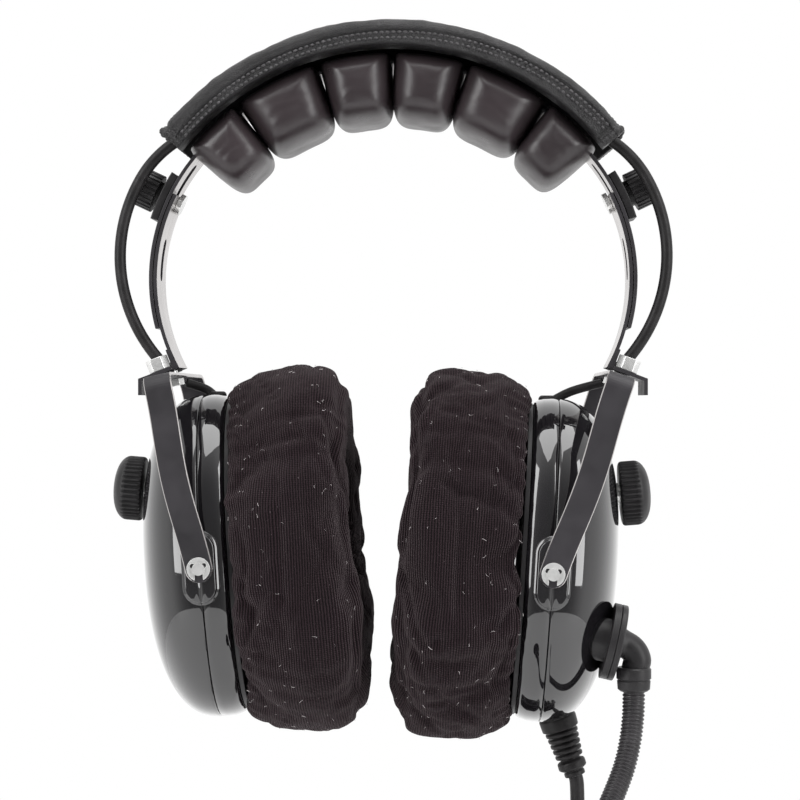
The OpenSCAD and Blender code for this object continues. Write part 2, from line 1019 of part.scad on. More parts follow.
module plug_mic() {
    plug(mic_route[len(mic_route) - 1], mic_plug_r, mic_plug_len);
}

headband_spring();
headpad_cover();
head_pillow(0);  // head_pillow_1
head_pillow(1);  // head_pillow_2
head_pillow(2);  // head_pillow_3
head_pillow(3);  // head_pillow_4
head_pillow(4);  // head_pillow_5
head_pillow(5);  // head_pillow_6
arm(LEFT);  // arm_l
arm(RIGHT);  // arm_r
lock_block(LEFT);  // lock_block_l
lock_block(RIGHT);  // lock_block_r
lock_screw(LEFT);  // lock_screw_l
lock_screw(RIGHT);  // lock_screw_r
lock_knob(LEFT);  // lock_knob_l
lock_knob(RIGHT);  // lock_knob_r
cable_gland(LEFT);  // cable_gland_l
cable_gland(RIGHT);  // cable_gland_r
cross_cable(LEFT);  // cross_cable_l
cross_cable(RIGHT);  // cross_cable_r
yoke_screw(LEFT);  // yoke_screw_l
yoke_screw(RIGHT);  // yoke_screw_r
yoke(LEFT);  // yoke_l
yoke(RIGHT);  // yoke_r
outer_shell(LEFT);  // outer_shell_l
outer_shell(RIGHT);  // outer_shell_r
inner_shell(LEFT);  // inner_shell_l
inner_shell(RIGHT);  // inner_shell_r
baffle(LEFT);  // baffle_l
baffle(RIGHT);  // baffle_r
speaker(LEFT);  // speaker_l
speaker(RIGHT);  // speaker_r
pivot_pins(LEFT);  // pivot_pins_l
pivot_pins(RIGHT);  // pivot_pins_r
e_clips(LEFT);  // e_clips_l
e_clips(RIGHT);  // e_clips_r
ear_seal(LEFT);  // ear_seal_l
ear_seal(RIGHT);  // ear_seal_r
seal_cover(LEFT);  // seal_cover_l
seal_cover(RIGHT);  // seal_cover_r
volume_pot(LEFT);  // volume_pot_l
volume_pot(RIGHT);  // volume_pot_r
volume_knob(LEFT);  // volume_knob_l
volume_knob(RIGHT);  // volume_knob_r
boom_base();
boom_elbow();
boom_collar();
gooseneck();
mic_housing();
mic_windscreen();
strain_relief();
cable_drop();
cable_coil();
cable_tie();
cable_tail();
y_boot();
lead_phone();
lead_mic();
plug_phone();
plug_mic();
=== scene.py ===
"""Looks of the aviation headset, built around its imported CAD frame. Shapes are worked out in millimetres."""
import json
import math
import random

import bmesh
import bpy
import numpy as np
from mathutils import Matrix, Vector, noise
from mathutils.geometry import tessellate_polygon
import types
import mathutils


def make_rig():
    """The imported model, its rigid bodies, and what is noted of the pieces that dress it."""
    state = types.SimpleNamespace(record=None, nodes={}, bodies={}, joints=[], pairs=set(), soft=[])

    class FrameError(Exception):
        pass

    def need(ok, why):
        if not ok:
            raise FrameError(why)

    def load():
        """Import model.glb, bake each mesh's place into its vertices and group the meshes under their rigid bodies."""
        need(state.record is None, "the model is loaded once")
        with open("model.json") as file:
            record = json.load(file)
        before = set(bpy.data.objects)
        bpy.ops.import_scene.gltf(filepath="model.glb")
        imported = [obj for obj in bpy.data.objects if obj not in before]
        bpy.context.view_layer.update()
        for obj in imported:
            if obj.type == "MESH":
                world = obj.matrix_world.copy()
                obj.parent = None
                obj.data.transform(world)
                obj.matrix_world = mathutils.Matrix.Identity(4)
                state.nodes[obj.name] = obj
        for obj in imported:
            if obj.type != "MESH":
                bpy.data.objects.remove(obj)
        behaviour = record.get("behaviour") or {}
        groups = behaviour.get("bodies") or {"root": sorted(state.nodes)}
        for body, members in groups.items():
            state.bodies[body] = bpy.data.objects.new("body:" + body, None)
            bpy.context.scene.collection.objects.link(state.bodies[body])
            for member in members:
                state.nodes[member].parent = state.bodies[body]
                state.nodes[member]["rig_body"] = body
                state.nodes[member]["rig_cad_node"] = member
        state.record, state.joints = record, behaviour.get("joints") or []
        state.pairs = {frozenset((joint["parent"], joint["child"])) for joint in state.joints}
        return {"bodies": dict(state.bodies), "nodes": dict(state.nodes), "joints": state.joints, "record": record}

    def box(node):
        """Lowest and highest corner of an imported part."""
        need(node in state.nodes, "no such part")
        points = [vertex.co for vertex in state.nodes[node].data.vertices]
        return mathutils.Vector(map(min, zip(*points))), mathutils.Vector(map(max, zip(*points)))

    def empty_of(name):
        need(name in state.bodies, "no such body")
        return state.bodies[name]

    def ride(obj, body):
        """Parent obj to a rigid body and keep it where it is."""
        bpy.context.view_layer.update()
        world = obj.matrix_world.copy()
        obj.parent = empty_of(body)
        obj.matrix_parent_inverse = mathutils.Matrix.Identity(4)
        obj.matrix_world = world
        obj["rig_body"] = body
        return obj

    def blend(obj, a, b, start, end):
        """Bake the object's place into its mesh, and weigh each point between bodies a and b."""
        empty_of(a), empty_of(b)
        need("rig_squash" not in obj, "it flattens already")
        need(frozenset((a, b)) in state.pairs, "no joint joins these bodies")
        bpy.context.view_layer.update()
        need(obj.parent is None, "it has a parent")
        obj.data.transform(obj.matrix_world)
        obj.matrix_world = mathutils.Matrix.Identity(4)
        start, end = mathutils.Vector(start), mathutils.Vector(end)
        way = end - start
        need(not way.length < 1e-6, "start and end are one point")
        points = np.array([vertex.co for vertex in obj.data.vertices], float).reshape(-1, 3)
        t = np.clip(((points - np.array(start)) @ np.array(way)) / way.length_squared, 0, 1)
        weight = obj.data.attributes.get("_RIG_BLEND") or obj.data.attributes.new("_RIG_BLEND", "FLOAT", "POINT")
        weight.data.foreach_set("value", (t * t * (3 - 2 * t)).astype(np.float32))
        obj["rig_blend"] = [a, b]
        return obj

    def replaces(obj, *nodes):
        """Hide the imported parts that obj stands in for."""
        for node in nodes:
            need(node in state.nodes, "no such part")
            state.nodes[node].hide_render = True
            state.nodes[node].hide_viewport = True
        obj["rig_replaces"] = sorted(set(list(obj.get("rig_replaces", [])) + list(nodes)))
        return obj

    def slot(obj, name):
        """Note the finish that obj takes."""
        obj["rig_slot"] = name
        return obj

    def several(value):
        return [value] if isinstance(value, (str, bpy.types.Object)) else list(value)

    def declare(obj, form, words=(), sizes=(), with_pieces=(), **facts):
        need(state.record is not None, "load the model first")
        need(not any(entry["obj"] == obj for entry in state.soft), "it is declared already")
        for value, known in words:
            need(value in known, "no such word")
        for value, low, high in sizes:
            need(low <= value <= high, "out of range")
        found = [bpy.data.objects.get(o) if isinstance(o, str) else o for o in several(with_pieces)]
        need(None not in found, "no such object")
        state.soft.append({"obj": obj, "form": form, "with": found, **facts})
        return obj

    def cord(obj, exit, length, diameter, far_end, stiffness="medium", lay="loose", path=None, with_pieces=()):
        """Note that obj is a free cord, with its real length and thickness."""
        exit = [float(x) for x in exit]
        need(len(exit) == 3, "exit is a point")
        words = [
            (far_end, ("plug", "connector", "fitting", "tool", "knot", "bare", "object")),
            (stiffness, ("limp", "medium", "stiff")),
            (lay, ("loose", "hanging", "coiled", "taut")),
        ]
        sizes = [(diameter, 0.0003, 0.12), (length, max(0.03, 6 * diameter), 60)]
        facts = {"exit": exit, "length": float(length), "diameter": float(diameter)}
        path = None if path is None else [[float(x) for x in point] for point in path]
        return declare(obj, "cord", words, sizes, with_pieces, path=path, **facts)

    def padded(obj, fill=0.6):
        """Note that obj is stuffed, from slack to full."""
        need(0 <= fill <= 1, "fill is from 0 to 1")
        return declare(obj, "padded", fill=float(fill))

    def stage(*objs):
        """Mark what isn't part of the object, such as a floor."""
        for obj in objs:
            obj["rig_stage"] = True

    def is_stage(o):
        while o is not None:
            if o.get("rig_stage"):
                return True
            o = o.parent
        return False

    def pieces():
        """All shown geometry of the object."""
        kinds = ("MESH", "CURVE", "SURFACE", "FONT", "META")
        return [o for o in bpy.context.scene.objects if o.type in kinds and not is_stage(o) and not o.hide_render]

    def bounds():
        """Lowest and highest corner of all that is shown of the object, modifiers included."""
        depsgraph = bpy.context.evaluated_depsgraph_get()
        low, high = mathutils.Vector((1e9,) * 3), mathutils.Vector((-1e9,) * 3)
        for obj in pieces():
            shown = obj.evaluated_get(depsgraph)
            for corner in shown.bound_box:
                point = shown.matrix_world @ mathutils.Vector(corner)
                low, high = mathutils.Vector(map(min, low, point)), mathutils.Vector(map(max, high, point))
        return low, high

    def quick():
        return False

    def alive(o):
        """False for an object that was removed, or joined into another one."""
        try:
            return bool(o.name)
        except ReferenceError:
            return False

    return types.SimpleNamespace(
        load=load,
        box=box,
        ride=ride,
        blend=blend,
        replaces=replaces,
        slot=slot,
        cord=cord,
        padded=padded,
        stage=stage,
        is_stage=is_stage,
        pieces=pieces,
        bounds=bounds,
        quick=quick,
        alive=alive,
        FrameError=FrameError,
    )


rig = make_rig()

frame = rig.load()
cad_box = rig.bounds()

MM = 0.001
SIDES = ("l", "r")
JOINTS = {j["name"]: j for j in frame["joints"]}
SLOT_COLOURS = {m["slot"]: m["base_color"] for m in frame["record"]["materials"]}
SIZE_FILE = "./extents.json"


# ---- places, from the frame ----

def joint_place(name):
    """Where a joint is, in millimetres."""
    return Vector(JOINTS[name]["pos_m"]) / MM


def low_corner(node):
    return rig.box(node)[0] / MM


def high_corner(node):
    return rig.box(node)[1] / MM


def body_of(node):
    return frame["nodes"][node]["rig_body"]


def side_frame(side, place, tilt):
    """Frame with +X outwards on either side, leaning by tilt degrees, with its origin at place."""
    right = Matrix.Translation((abs(place.x), place.y, place.z)) @ Matrix.Rotation(math.radians(tilt), 4, "Y")
    return right if side == "r" else Matrix.Diagonal((-1, 1, 1, 1)) @ right


CUP_TILT = 3.5
COVER_R = 96.9
CROWN_Z = high_corner("headpad_cover").z - COVER_R


def cup_frame(side):
    return side_frame(side, joint_place("cup_pivot_" + side), CUP_TILT)


def yoke_lean(side):
    axis = JOINTS["yoke_swivel_" + side]["axis"]
    return math.degrees(math.atan2(abs(axis[0]), axis[2]))


def yoke_frame(side):
    return side_frame(side, joint_place("cup_pivot_" + side), yoke_lean(side))


def yoke_length(side):
    return (joint_place("yoke_swivel_" + side) - joint_place("cup_pivot_" + side)).length


# ---- mesh helpers ----

def link(obj):
    bpy.context.scene.collection.objects.link(obj)
    return obj


def make_piece(name, points, faces, material, place=Matrix.Identity(4), smooth=True):
    """Mesh object from points in millimetres in the frame place, with its faces turned outwards."""
    mesh = bpy.data.meshes.new(name)
    mesh.from_pydata([(place @ Vector(p)) * MM for p in points], [], faces)
    work = bmesh.new()
    work.from_mesh(mesh)
    bmesh.ops.recalc_face_normals(work, faces=work.faces)
    work.to_mesh(mesh)
    work.free()
    mesh.polygons.foreach_set("use_smooth", [smooth] * len(mesh.polygons))
    mesh.materials.append(material)
    return link(bpy.data.objects.new(name, mesh))


def settle(obj, body, slot, *nodes):
    """Gives a piece its body, its finish and the CAD nodes that it stands for."""
    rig.ride(obj, body)
    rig.slot(obj, slot)
    if nodes:
        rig.replaces(obj, *nodes)
    return obj


def circle(count):
    """Angles of that many points, evenly round a circle."""
    return [2 * math.pi * k / count for k in range(count)]


def grid_faces(rows, cols, wrap_rows=False, first=0):
    """Quads of a grid whose columns close on themselves."""
    last = rows if wrap_rows else rows - 1
    return [
        (first + i * cols + k, first + i * cols + (k + 1) % cols,
         first + (i + 1) % rows * cols + (k + 1) % cols, first + (i + 1) % rows * cols + k)
        for i in range(last) for k in range(cols)]


def tube_mesh(rings):
    """Points and faces of a closed solid through rings with equal point counts."""
    cols = len(rings[0])
    points = [p for ring in rings for p in ring]
    faces = grid_faces(len(rings), cols)
    faces.append(tuple(range(cols)))
    faces.append(tuple(range(len(points) - cols, len(points))))
    return points, faces


def through(points, steps, closed=False):
    """Smooth curve through points, with that many steps in each gap."""
    pts = [np.array(p, float) for p in points]
    count = len(pts)
    gaps = count if closed else count - 1

    def at(i):
        return pts[i % count] if closed else pts[min(max(i, 0), count - 1)]

    line = []
    for i in range(gaps):
        a, b, c, d = at(i - 1), at(i), at(i + 1), at(i + 2)
        for k in range(steps):
            t = k / steps
            line.append(0.5 * (2 * b + (c - a) * t + (2 * a - 5 * b + 4 * c - d) * t ** 2
                               + (3 * b - 3 * c + d - a) * t ** 3))
    return line if closed else line + [pts[-1]]


def evenly(line, step):
    """The line again with points about step apart, and how far along it each one is."""
    line = np.array(line, float)
    along = np.concatenate([[0], np.cumsum(np.linalg.norm(np.diff(line, axis=0), axis=1))])
    at = np.linspace(0, along[-1], max(2, round(along[-1] / step) + 1))
    return np.stack([np.interp(at, along, line[:, k]) for k in range(3)], axis=1), at


def sweep(line, step, radius_of, sides):
    """Rings every step round a line. radius_of takes the length along it and gives a radius."""
    points, at = evenly(line, step)
    side = None
    rings = []
    for i, p in enumerate(points):
        ahead = Vector(points[min(i + 1, len(points) - 1)] - points[max(i - 1, 0)]).normalized()
        side = ahead.orthogonal() if side is None else side - side.dot(ahead) * ahead
        side.normalize()
        up = ahead.cross(side)
        r = radius_of(at[i])
        rings.append([Vector(p) + r * (math.cos(a) * side + math.sin(a) * up) for a in circle(sides)])
    return tube_mesh(rings)


def lathe(name, profile, material, place, segments=64, wobble=None):
    """Turned solid about +Z. The profile is a list of (radius, height), from one end to the other."""
    rings = []
    for r, z in profile:
        ring = []
        for a in circle(segments):
            grown = r + (wobble(a, z) if wobble else 0)
            ring.append((grown * math.cos(a), grown * math.sin(a), z))
        rings.append(ring)
    return make_piece(name, *tube_mesh(rings), material, place)


def rounded(corners, radius, steps=4):
    """A profile of (radius, height) with its inner corners rounded."""
    out = [Vector(corners[0])]
    for before, corner, after in zip(corners, corners[1:], corners[2:]):
        b, c, a = Vector(before), Vector(corner), Vector(after)
        cut = min(radius, 0.45 * (b - c).length, 0.45 * (a - c).length)
        start, end = c + (b - c).normalized() * cut, c + (a - c).normalized() * cut
        for k in range(steps + 1):
            t = k / steps
            out.append(start.lerp(c, t).lerp(c.lerp(end, t), t))
    return out + [Vector(corners[-1])]


def power_of(v, p):
    return math.copysign(abs(v) ** (2 / p), v)


def modifier(obj, name, kind, **settings):
    made = obj.modifiers.new(name, kind)
    for key, value in settings.items():
        setattr(made, key, value)
    return made


# ---- materials ----

class Nodes:
    """A material's node tree, with short calls for the nodes that the finishes share."""

    def __init__(self, name, slot, roughness, **settings):
        self.material = bpy.data.materials.new(name)
        self.material.use_nodes = True
        self.tree = self.material.node_tree
        self.shader = self.tree.nodes["Principled BSDF"]
        self.colour = SLOT_COLOURS[slot]
        self.shader.inputs["Base Color"].default_value = (*self.colour, 1)
        self.shader.inputs["Roughness"].default_value = roughness
        for key, value in settings.items():
            self.shader.inputs[key.replace("_", " ")].default_value = value
        self.height = None

    def node(self, kind, **settings):
        made = self.tree.nodes.new(kind)
        for key, value in settings.items():
            setattr(made, key, value)
        return made

    def join(self, out, into):
        self.tree.links.new(out, into)

    def place(self, scale=(1, 1, 1), attribute=None):
        """Coordinates in metres, or a mesh attribute, stretched by scale."""
        if attribute:
            start = self.node("ShaderNodeAttribute", attribute_name=attribute).outputs["Vector"]
        else:
            start = self.node("ShaderNodeTexCoord").outputs["Object"]
        mapping = self.node("ShaderNodeMapping")
        mapping.inputs["Scale"].default_value = scale
        self.join(start, mapping.inputs["Vector"])
        return mapping.outputs["Vector"]

    def noise(self, scale, detail=3, stretch=(1, 1, 1), attribute=None):
        made = self.node("ShaderNodeTexNoise")
        made.inputs["Scale"].default_value = scale
        made.inputs["Detail"].default_value = detail
        self.join(self.place(stretch, attribute), made.inputs["Vector"])
        return made.outputs["Fac"]

    def cells(self, scale, feature="F1", stretch=(1, 1, 1)):
        made = self.node("ShaderNodeTexVoronoi", feature=feature)
        made.inputs["Scale"].default_value = scale
        self.join(self.place(stretch), made.inputs["Vector"])
        return made.outputs["Distance"]

    def waves(self, pitch, direction, attribute, distortion=0.0):
        """Stripes that repeat every pitch of the attribute's own units."""
        made = self.node("ShaderNodeTexWave", bands_direction=direction)
        made.inputs["Scale"].default_value = 2 * math.pi / 20 / pitch
        made.inputs["Distortion"].default_value = distortion
        made.inputs["Detail Scale"].default_value = 1.5
        self.join(self.place(attribute=attribute), made.inputs["Vector"])
        return made.outputs["Fac"]

    def ramp(self, value, low, high, start=0.3, end=0.7):
        """Turns a value between start and end into one between low and high, both numbers or colours."""
        made = self.node("ShaderNodeValToRGB")
        for stop, at, to in zip(made.color_ramp.elements, (start, end), (low, high)):
            stop.position = at
            stop.color = (*to, 1) if hasattr(to, "__len__") else (to, to, to, 1)
        self.join(value, made.inputs["Fac"])
        return made.outputs["Color"]

    def tint(self, factor):
        return tuple(c * factor for c in self.colour)

    def vary_colour(self, value, low, high, start=0.3, end=0.7):
        self.join(self.ramp(value, self.tint(low), self.tint(high), start, end), self.shader.inputs["Base Color"])

    def vary_roughness(self, value, low, high, start=0.3, end=0.7):
        self.join(self.ramp(value, low, high, start, end), self.shader.inputs["Roughness"])

    def bump(self, value, depth_mm, strength=1.0):
        """Adds a relief of that depth on top of those already there."""
        made = self.node("ShaderNodeBump")
        made.inputs["Distance"].default_value = depth_mm * MM
        made.inputs["Strength"].default_value = strength
        self.join(value, made.inputs["Height"])
        if self.height:
            self.join(self.height, made.inputs["Normal"])
        self.height = made.outputs["Normal"]
        self.join(self.height, self.shader.inputs["Normal"])


def spring_steel():
    n = Nodes("spring_steel", "spring_steel", 0.26, Metallic=1.0)
    along = n.noise(60, 4, (1, 40, 1))
    n.vary_roughness(along, 0.18, 0.36)
    n.vary_colour(n.noise(35), 0.6, 0.9)
    n.bump(along, 0.02, 0.35)
    return n.material


def dark_steel():
    n = Nodes("dark_steel", "dark_steel", 0.46, Specular_IOR_Level=0.3)
    n.vary_colour(n.noise(45), 0.3, 0.5)
    n.vary_roughness(n.noise(220), 0.34, 0.5)
    n.bump(n.noise(2600, 2), 0.02, 0.4)
    return n.material


def bright_metal():
    n = Nodes("bright_metal", "bright_metal", 0.2, Metallic=0.6)
    n.vary_colour(n.noise(300), 0.85, 1.1)
    n.vary_roughness(n.noise(500), 0.1, 0.26)
    n.bump(n.noise(1800), 0.01, 0.3)
    return n.material


def black_plastic():
    n = Nodes("black_plastic", "black_plastic", 0.42, Specular_IOR_Level=0.28)
    n.vary_colour(n.noise(90), 0.7, 1.5)
    n.vary_roughness(n.noise(160), 0.34, 0.5)
    n.bump(n.noise(3200, 2), 0.025, 0.5)
    return n.material


def gloss_shell():
    n = Nodes("gloss_shell", "gloss_shell", 0.05, IOR=1.5, Coat_Weight=1.0, Coat_Roughness=0.02, Coat_IOR=1.5)
    n.vary_colour(n.noise(30), 0.4, 0.8)
    n.vary_roughness(n.noise(700, 6), 0.03, 0.16, 0.55, 0.75)
    n.bump(n.noise(55, 1), 0.012, 0.5)
    return n.material


def leather():
    n = Nodes("leather", "leather", 0.4, Specular_IOR_Level=0.32)
    grain = n.cells(1500, "DISTANCE_TO_EDGE")
    n.vary_colour(n.noise(70, 5), 0.5, 1.2)
    n.vary_roughness(n.noise(240, 4), 0.3, 0.5)
    n.bump(n.ramp(grain, 0.0, 1.0, 0.0, 0.25), 0.12, 0.8)
    n.bump(n.noise(180, 6), 0.5, 0.5)
    return n.material


def pillow_vinyl():
    n = Nodes("pillow_vinyl", "pillow_vinyl", 0.34, Specular_IOR_Level=0.5)
    n.vary_colour(n.noise(40, 4), 0.42, 0.66)
    n.vary_roughness(n.noise(110, 5), 0.27, 0.4)
    n.bump(n.ramp(n.cells(1900, "DISTANCE_TO_EDGE"), 0.0, 1.0, 0.0, 0.2), 0.03, 0.4)
    n.bump(n.noise(60, 4), 0.3, 0.25)
    return n.material


def seal_vinyl():
    n = Nodes("seal_vinyl", "seal_vinyl", 0.4)
    n.vary_colour(n.noise(80), 0.8, 1.4)
    n.bump(n.noise(900, 3), 0.04, 0.4)
    return n.material


RIB_PITCH = 0.82
LOOP_PITCH = 0.62
# The colour sockets of a Mix node, which share their names with its number sockets
MIX_A, MIX_B, MIX_RESULT = 6, 7, 2


def knit_cloth():
    """Ribbed knit: ribs run round the cushion, crossed by the loops of the yarn, and pale lint sticks to it."""
    n = Nodes("knit_cloth", "knit_cloth", 0.95, Sheen_Weight=0.12, Sheen_Roughness=0.45,
              Specular_IOR_Level=0.1)
    n.shader.inputs["Sheen Tint"].default_value = (0.9, 0.75, 0.78, 1)
    ribs = n.waves(RIB_PITCH, "Y", "weave", 1.2)
    loops = n.waves(LOOP_PITCH, "X", "weave", 2.0)
    # Painted shade: the colour follows the rib relief, dark in the grooves between the ribs and lighter on their
    # crests
    painted_rib_shade = n.ramp(ribs, n.tint(0.1), n.tint(0.75), 0.2, 0.8)
    lint = n.ramp(n.noise(1500, 2), 0.0, 1.0, 0.735, 0.78)
    mix = n.node("ShaderNodeMix", data_type="RGBA")
    n.join(lint, mix.inputs["Factor"])
    n.join(painted_rib_shade, mix.inputs[MIX_A])
    mix.inputs[MIX_B].default_value = (0.16, 0.13, 0.14, 1)
    n.join(mix.outputs[MIX_RESULT], n.shader.inputs["Base Color"])
    n.bump(ribs, 0.34, 1.0)
    n.bump(loops, 0.14, 0.7)
    n.bump(n.noise(900, 4), 0.2, 0.7)
    return n.material


def cable_rubber():
    n = Nodes("cable_rubber", "cable_rubber", 0.46, Specular_IOR_Level=0.25)
    n.vary_colour(n.noise(120), 0.3, 0.8)
    n.vary_roughness(n.noise(300), 0.38, 0.56)
    n.bump(n.noise(1500, 3), 0.03, 0.5)
    return n.material


def gooseneck_metal():
    n = Nodes("gooseneck_metal", "gooseneck_metal", 0.4, Specular_IOR_Level=0.35)
    n.vary_colour(n.noise(160), 0.25, 0.55)
    n.vary_roughness(n.noise(500), 0.28, 0.46)
    n.bump(n.noise(2400, 2), 0.015, 0.4)
    return n.material


def foam():
    n = Nodes("foam", "foam", 0.98, Specular_IOR_Level=0.2)
    pores = n.cells(1100)
    # Painted light and shade: the colour is lighter on the raised middles of the cells and darker where the surface
    # sinks between them
    n.vary_colour(pores, 2.6, 0.4, 0.1, 0.6)
    n.bump(pores, -0.5, 1.0)
    n.bump(n.noise(2500, 3), 0.15, 0.7)
    return n.material


def plug_metal():
    n = Nodes("plug_metal", "plug_metal", 0.2, Metallic=1.0)
    n.vary_colour(n.noise(200), 0.85, 1.1)
    n.vary_roughness(n.noise(400, 4), 0.12, 0.3)
    n.bump(n.noise(900, 2, (1, 1, 6)), 0.01, 0.3)
    return n.material


def lint_fibre():
    n = Nodes("lint_fibre", "knit_cloth", 0.8)
    n.shader.inputs["Base Color"].default_value = (0.42, 0.37, 0.38, 1)
    n.join(n.ramp(n.noise(900), (0.2, 0.17, 0.18), (0.75, 0.7, 0.7)), n.shader.inputs["Base Color"])
    return n.material


def stitch_thread():
    n = Nodes("stitch_thread", "leather", 0.38)
    n.vary_colour(n.noise(1400, 2), 0.8, 4.0)
    n.bump(n.noise(2600, 2), 0.06, 0.6)
    return n.material


MATERIALS = {f.__name__: f() for f in (
    spring_steel, dark_steel, bright_metal, black_plastic, gloss_shell, leather, pillow_vinyl, seal_vinyl,
    knit_cloth, cable_rubber, gooseneck_metal, foam, plug_metal, lint_fibre, stitch_thread)}


# ---- camera and light ----

def camera():
    """A level view from the front, a little to the boom's side."""
    view_drop = 124
    aside = 2.2
    distance = 700
    azimuth = math.radians(2)
    lens = 94.5
    target = Vector((aside, 0, high_corner("headpad_cover").z - view_drop)) * MM
    back = Vector((math.sin(azimuth), -math.cos(azimuth), 0))
    cam = link(bpy.data.objects.new("camera", bpy.data.cameras.new("camera")))
    cam.data.sensor_width = 36
    cam.data.lens = lens
    cam.location = target + back * distance * MM
    cam.rotation_euler = (-back).to_track_quat("-Z", "Y").to_euler()
    bpy.context.scene.camera = cam


def softbox(name, place, size, watts):
    """Rectangular light at place, in metres, that faces the cups."""
    light = link(bpy.data.objects.new(name, bpy.data.lights.new(name, "AREA")))
    light.data.shape = "RECTANGLE"
    light.data.size, light.data.size_y = size
    light.data.energy = watts
    light.location = place
    light.rotation_euler = (-Vector(place)).to_track_quat("-Z", "Y").to_euler()


def surroundings():
    """White all round, dimmer on the side that the front faces, so that gloss has something dark to show."""
    world = bpy.data.worlds.new("studio")
    bpy.context.scene.world = world
    world.use_nodes = True
    tree = world.node_tree
    back = tree.nodes["Background"]
    coords = tree.nodes.new("ShaderNodeTexCoord")
    split = tree.nodes.new("ShaderNodeSeparateXYZ")
    ramp = tree.nodes.new("ShaderNodeMapRange")
    ramp.interpolation_type = "SMOOTHSTEP"
    for key, value in {"From Min": -0.95, "From Max": -0.25, "To Min": 0.22, "To Max": 1.0}.items():
        ramp.inputs[key].default_value = value
    tree.links.new(coords.outputs["Generated"], split.inputs[0])
    tree.links.new(split.outputs["Y"], ramp.inputs["Value"])
    tree.links.new(ramp.outputs["Result"], back.inputs["Strength"])
    back.inputs["Color"].default_value = (1, 1, 1, 1)


def stage():
    floor_r = 0.62
    gap = 1.5 * MM
    bpy.ops.mesh.primitive_circle_add(vertices=96, radius=floor_r, fill_type="NGON",
                                      location=(0, 0, cad_box[0].z - gap))
    floor = bpy.context.object
    floor.name = "floor"
    pale = bpy.data.materials.new("pale_floor")
    pale.use_nodes = True
    pale.node_tree.nodes["Principled BSDF"].inputs["Base Color"].default_value = (0.86, 0.86, 0.86, 1)
    pale.node_tree.nodes["Principled BSDF"].inputs["Roughness"].default_value = 0.7
    floor.data.materials.append(pale)
    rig.stage(floor)


camera()
surroundings()
stage()
softbox("left_softbox", (-0.75, -0.65, 0.35), (0.35, 1.1), 7)
softbox("right_softbox", (0.8, -0.6, 0.3), (0.35, 1.1), 7)
softbox("top_softbox", (0.1, -0.15, 1.0), (0.9, 0.7), 7)
bpy.context.scene.view_settings.view_transform = "Standard"


# ---- cable: drop, stored coil, tail and the two leads ----

MAIN_LENGTH = 1.30
CABLE_D = 4.8
LEAD_LENGTH = 0.034
LEAD_D = 3.6
PHONE_R, MIC_PLUG_R = 3.17, 2.62
COIL_R = 28
COIL_PITCH = 5.2
COIL_LOW, COIL_HIGH = low_corner("cable_coil"), high_corner("cable_coil")
COIL_CENTRE = (COIL_LOW + COIL_HIGH) / 2
DROP = [(60.5, 0, -67.4), (61, 0, -70), (61.2, 0, -76), (61.2, 0, -84), (61.1, 0, -92), (61.1, 0.8, -98),
        (61.3, 3.4, -104), (61.4, 6, -109), (61.2, 6.2, -114)]
TAIL = [(65.6, -7.4, -124), (65.9, -6.2, -129), (66.6, -3.6, -134), (67.5, -1, -139), (68, 0, -143.5)]
PHONE_LEAD = [(61, 0, -156), (61, 0, -161.6), (60.6, 0, -168), (59.6, 0, -176), (59.2, 0, -184), (59.1, 0, -190)]
MIC_LEAD = [(75, 0, -156), (75, 0, -161.6), (75.4, 0, -168), (76.4, 0, -176), (76.8, 0, -184), (76.9, 0, -190)]
# Each turn's place in the bundle: an angle from outwards, and a distance in pitches
BUNDLE = [(90, 1), (30, 1), (330, 1), (0, 0), (150, 1), (210, 1), (270, 1), (300, 3 ** 0.5)]


def bundle_place(k):
    angle, far = BUNDLE[k]
    return Vector((math.cos(math.radians(angle)), math.sin(math.radians(angle)))) * far * COIL_PITCH


def coil_line():
    """Turns that keep to their own places in the bundle. A later turn moves on earlier, so its place is free."""
    steps = 36
    move = 0.12
    turns = len(BUNDLE) - 1
    line = []
    for k in range(turns):
        start = 0.87 - 0.13 * k
        for step in range(steps):
            f = step / steps
            t = min(max((f - start) / move, 0), 1)
            out, y = bundle_place(k).lerp(bundle_place(k + 1), t * t * (3 - 2 * t))
            a = -2 * math.pi * f
            line.append((COIL_CENTRE.x + (COIL_R + out) * math.cos(a), y,
                         COIL_CENTRE.z + (COIL_R + out) * math.sin(a)))
    return line


def cord_curve(name, points, diameter, body, *nodes):
    data = bpy.data.curves.new(name, "CURVE")
    data.dimensions = "3D"
    data.bevel_depth = diameter / 2 * MM
    data.bevel_resolution = 5
    data.use_fill_caps = True
    spline = data.splines.new("POLY")
    spline.points.add(len(points) - 1)
    for at, p in zip(spline.points, points):
        at.co = (*(Vector(p) * MM), 1)
    spline.use_smooth = True
    data.materials.append(MATERIALS["cable_rubber"])
    return settle(link(bpy.data.objects.new(name, data)), body, "cable_rubber", *nodes)


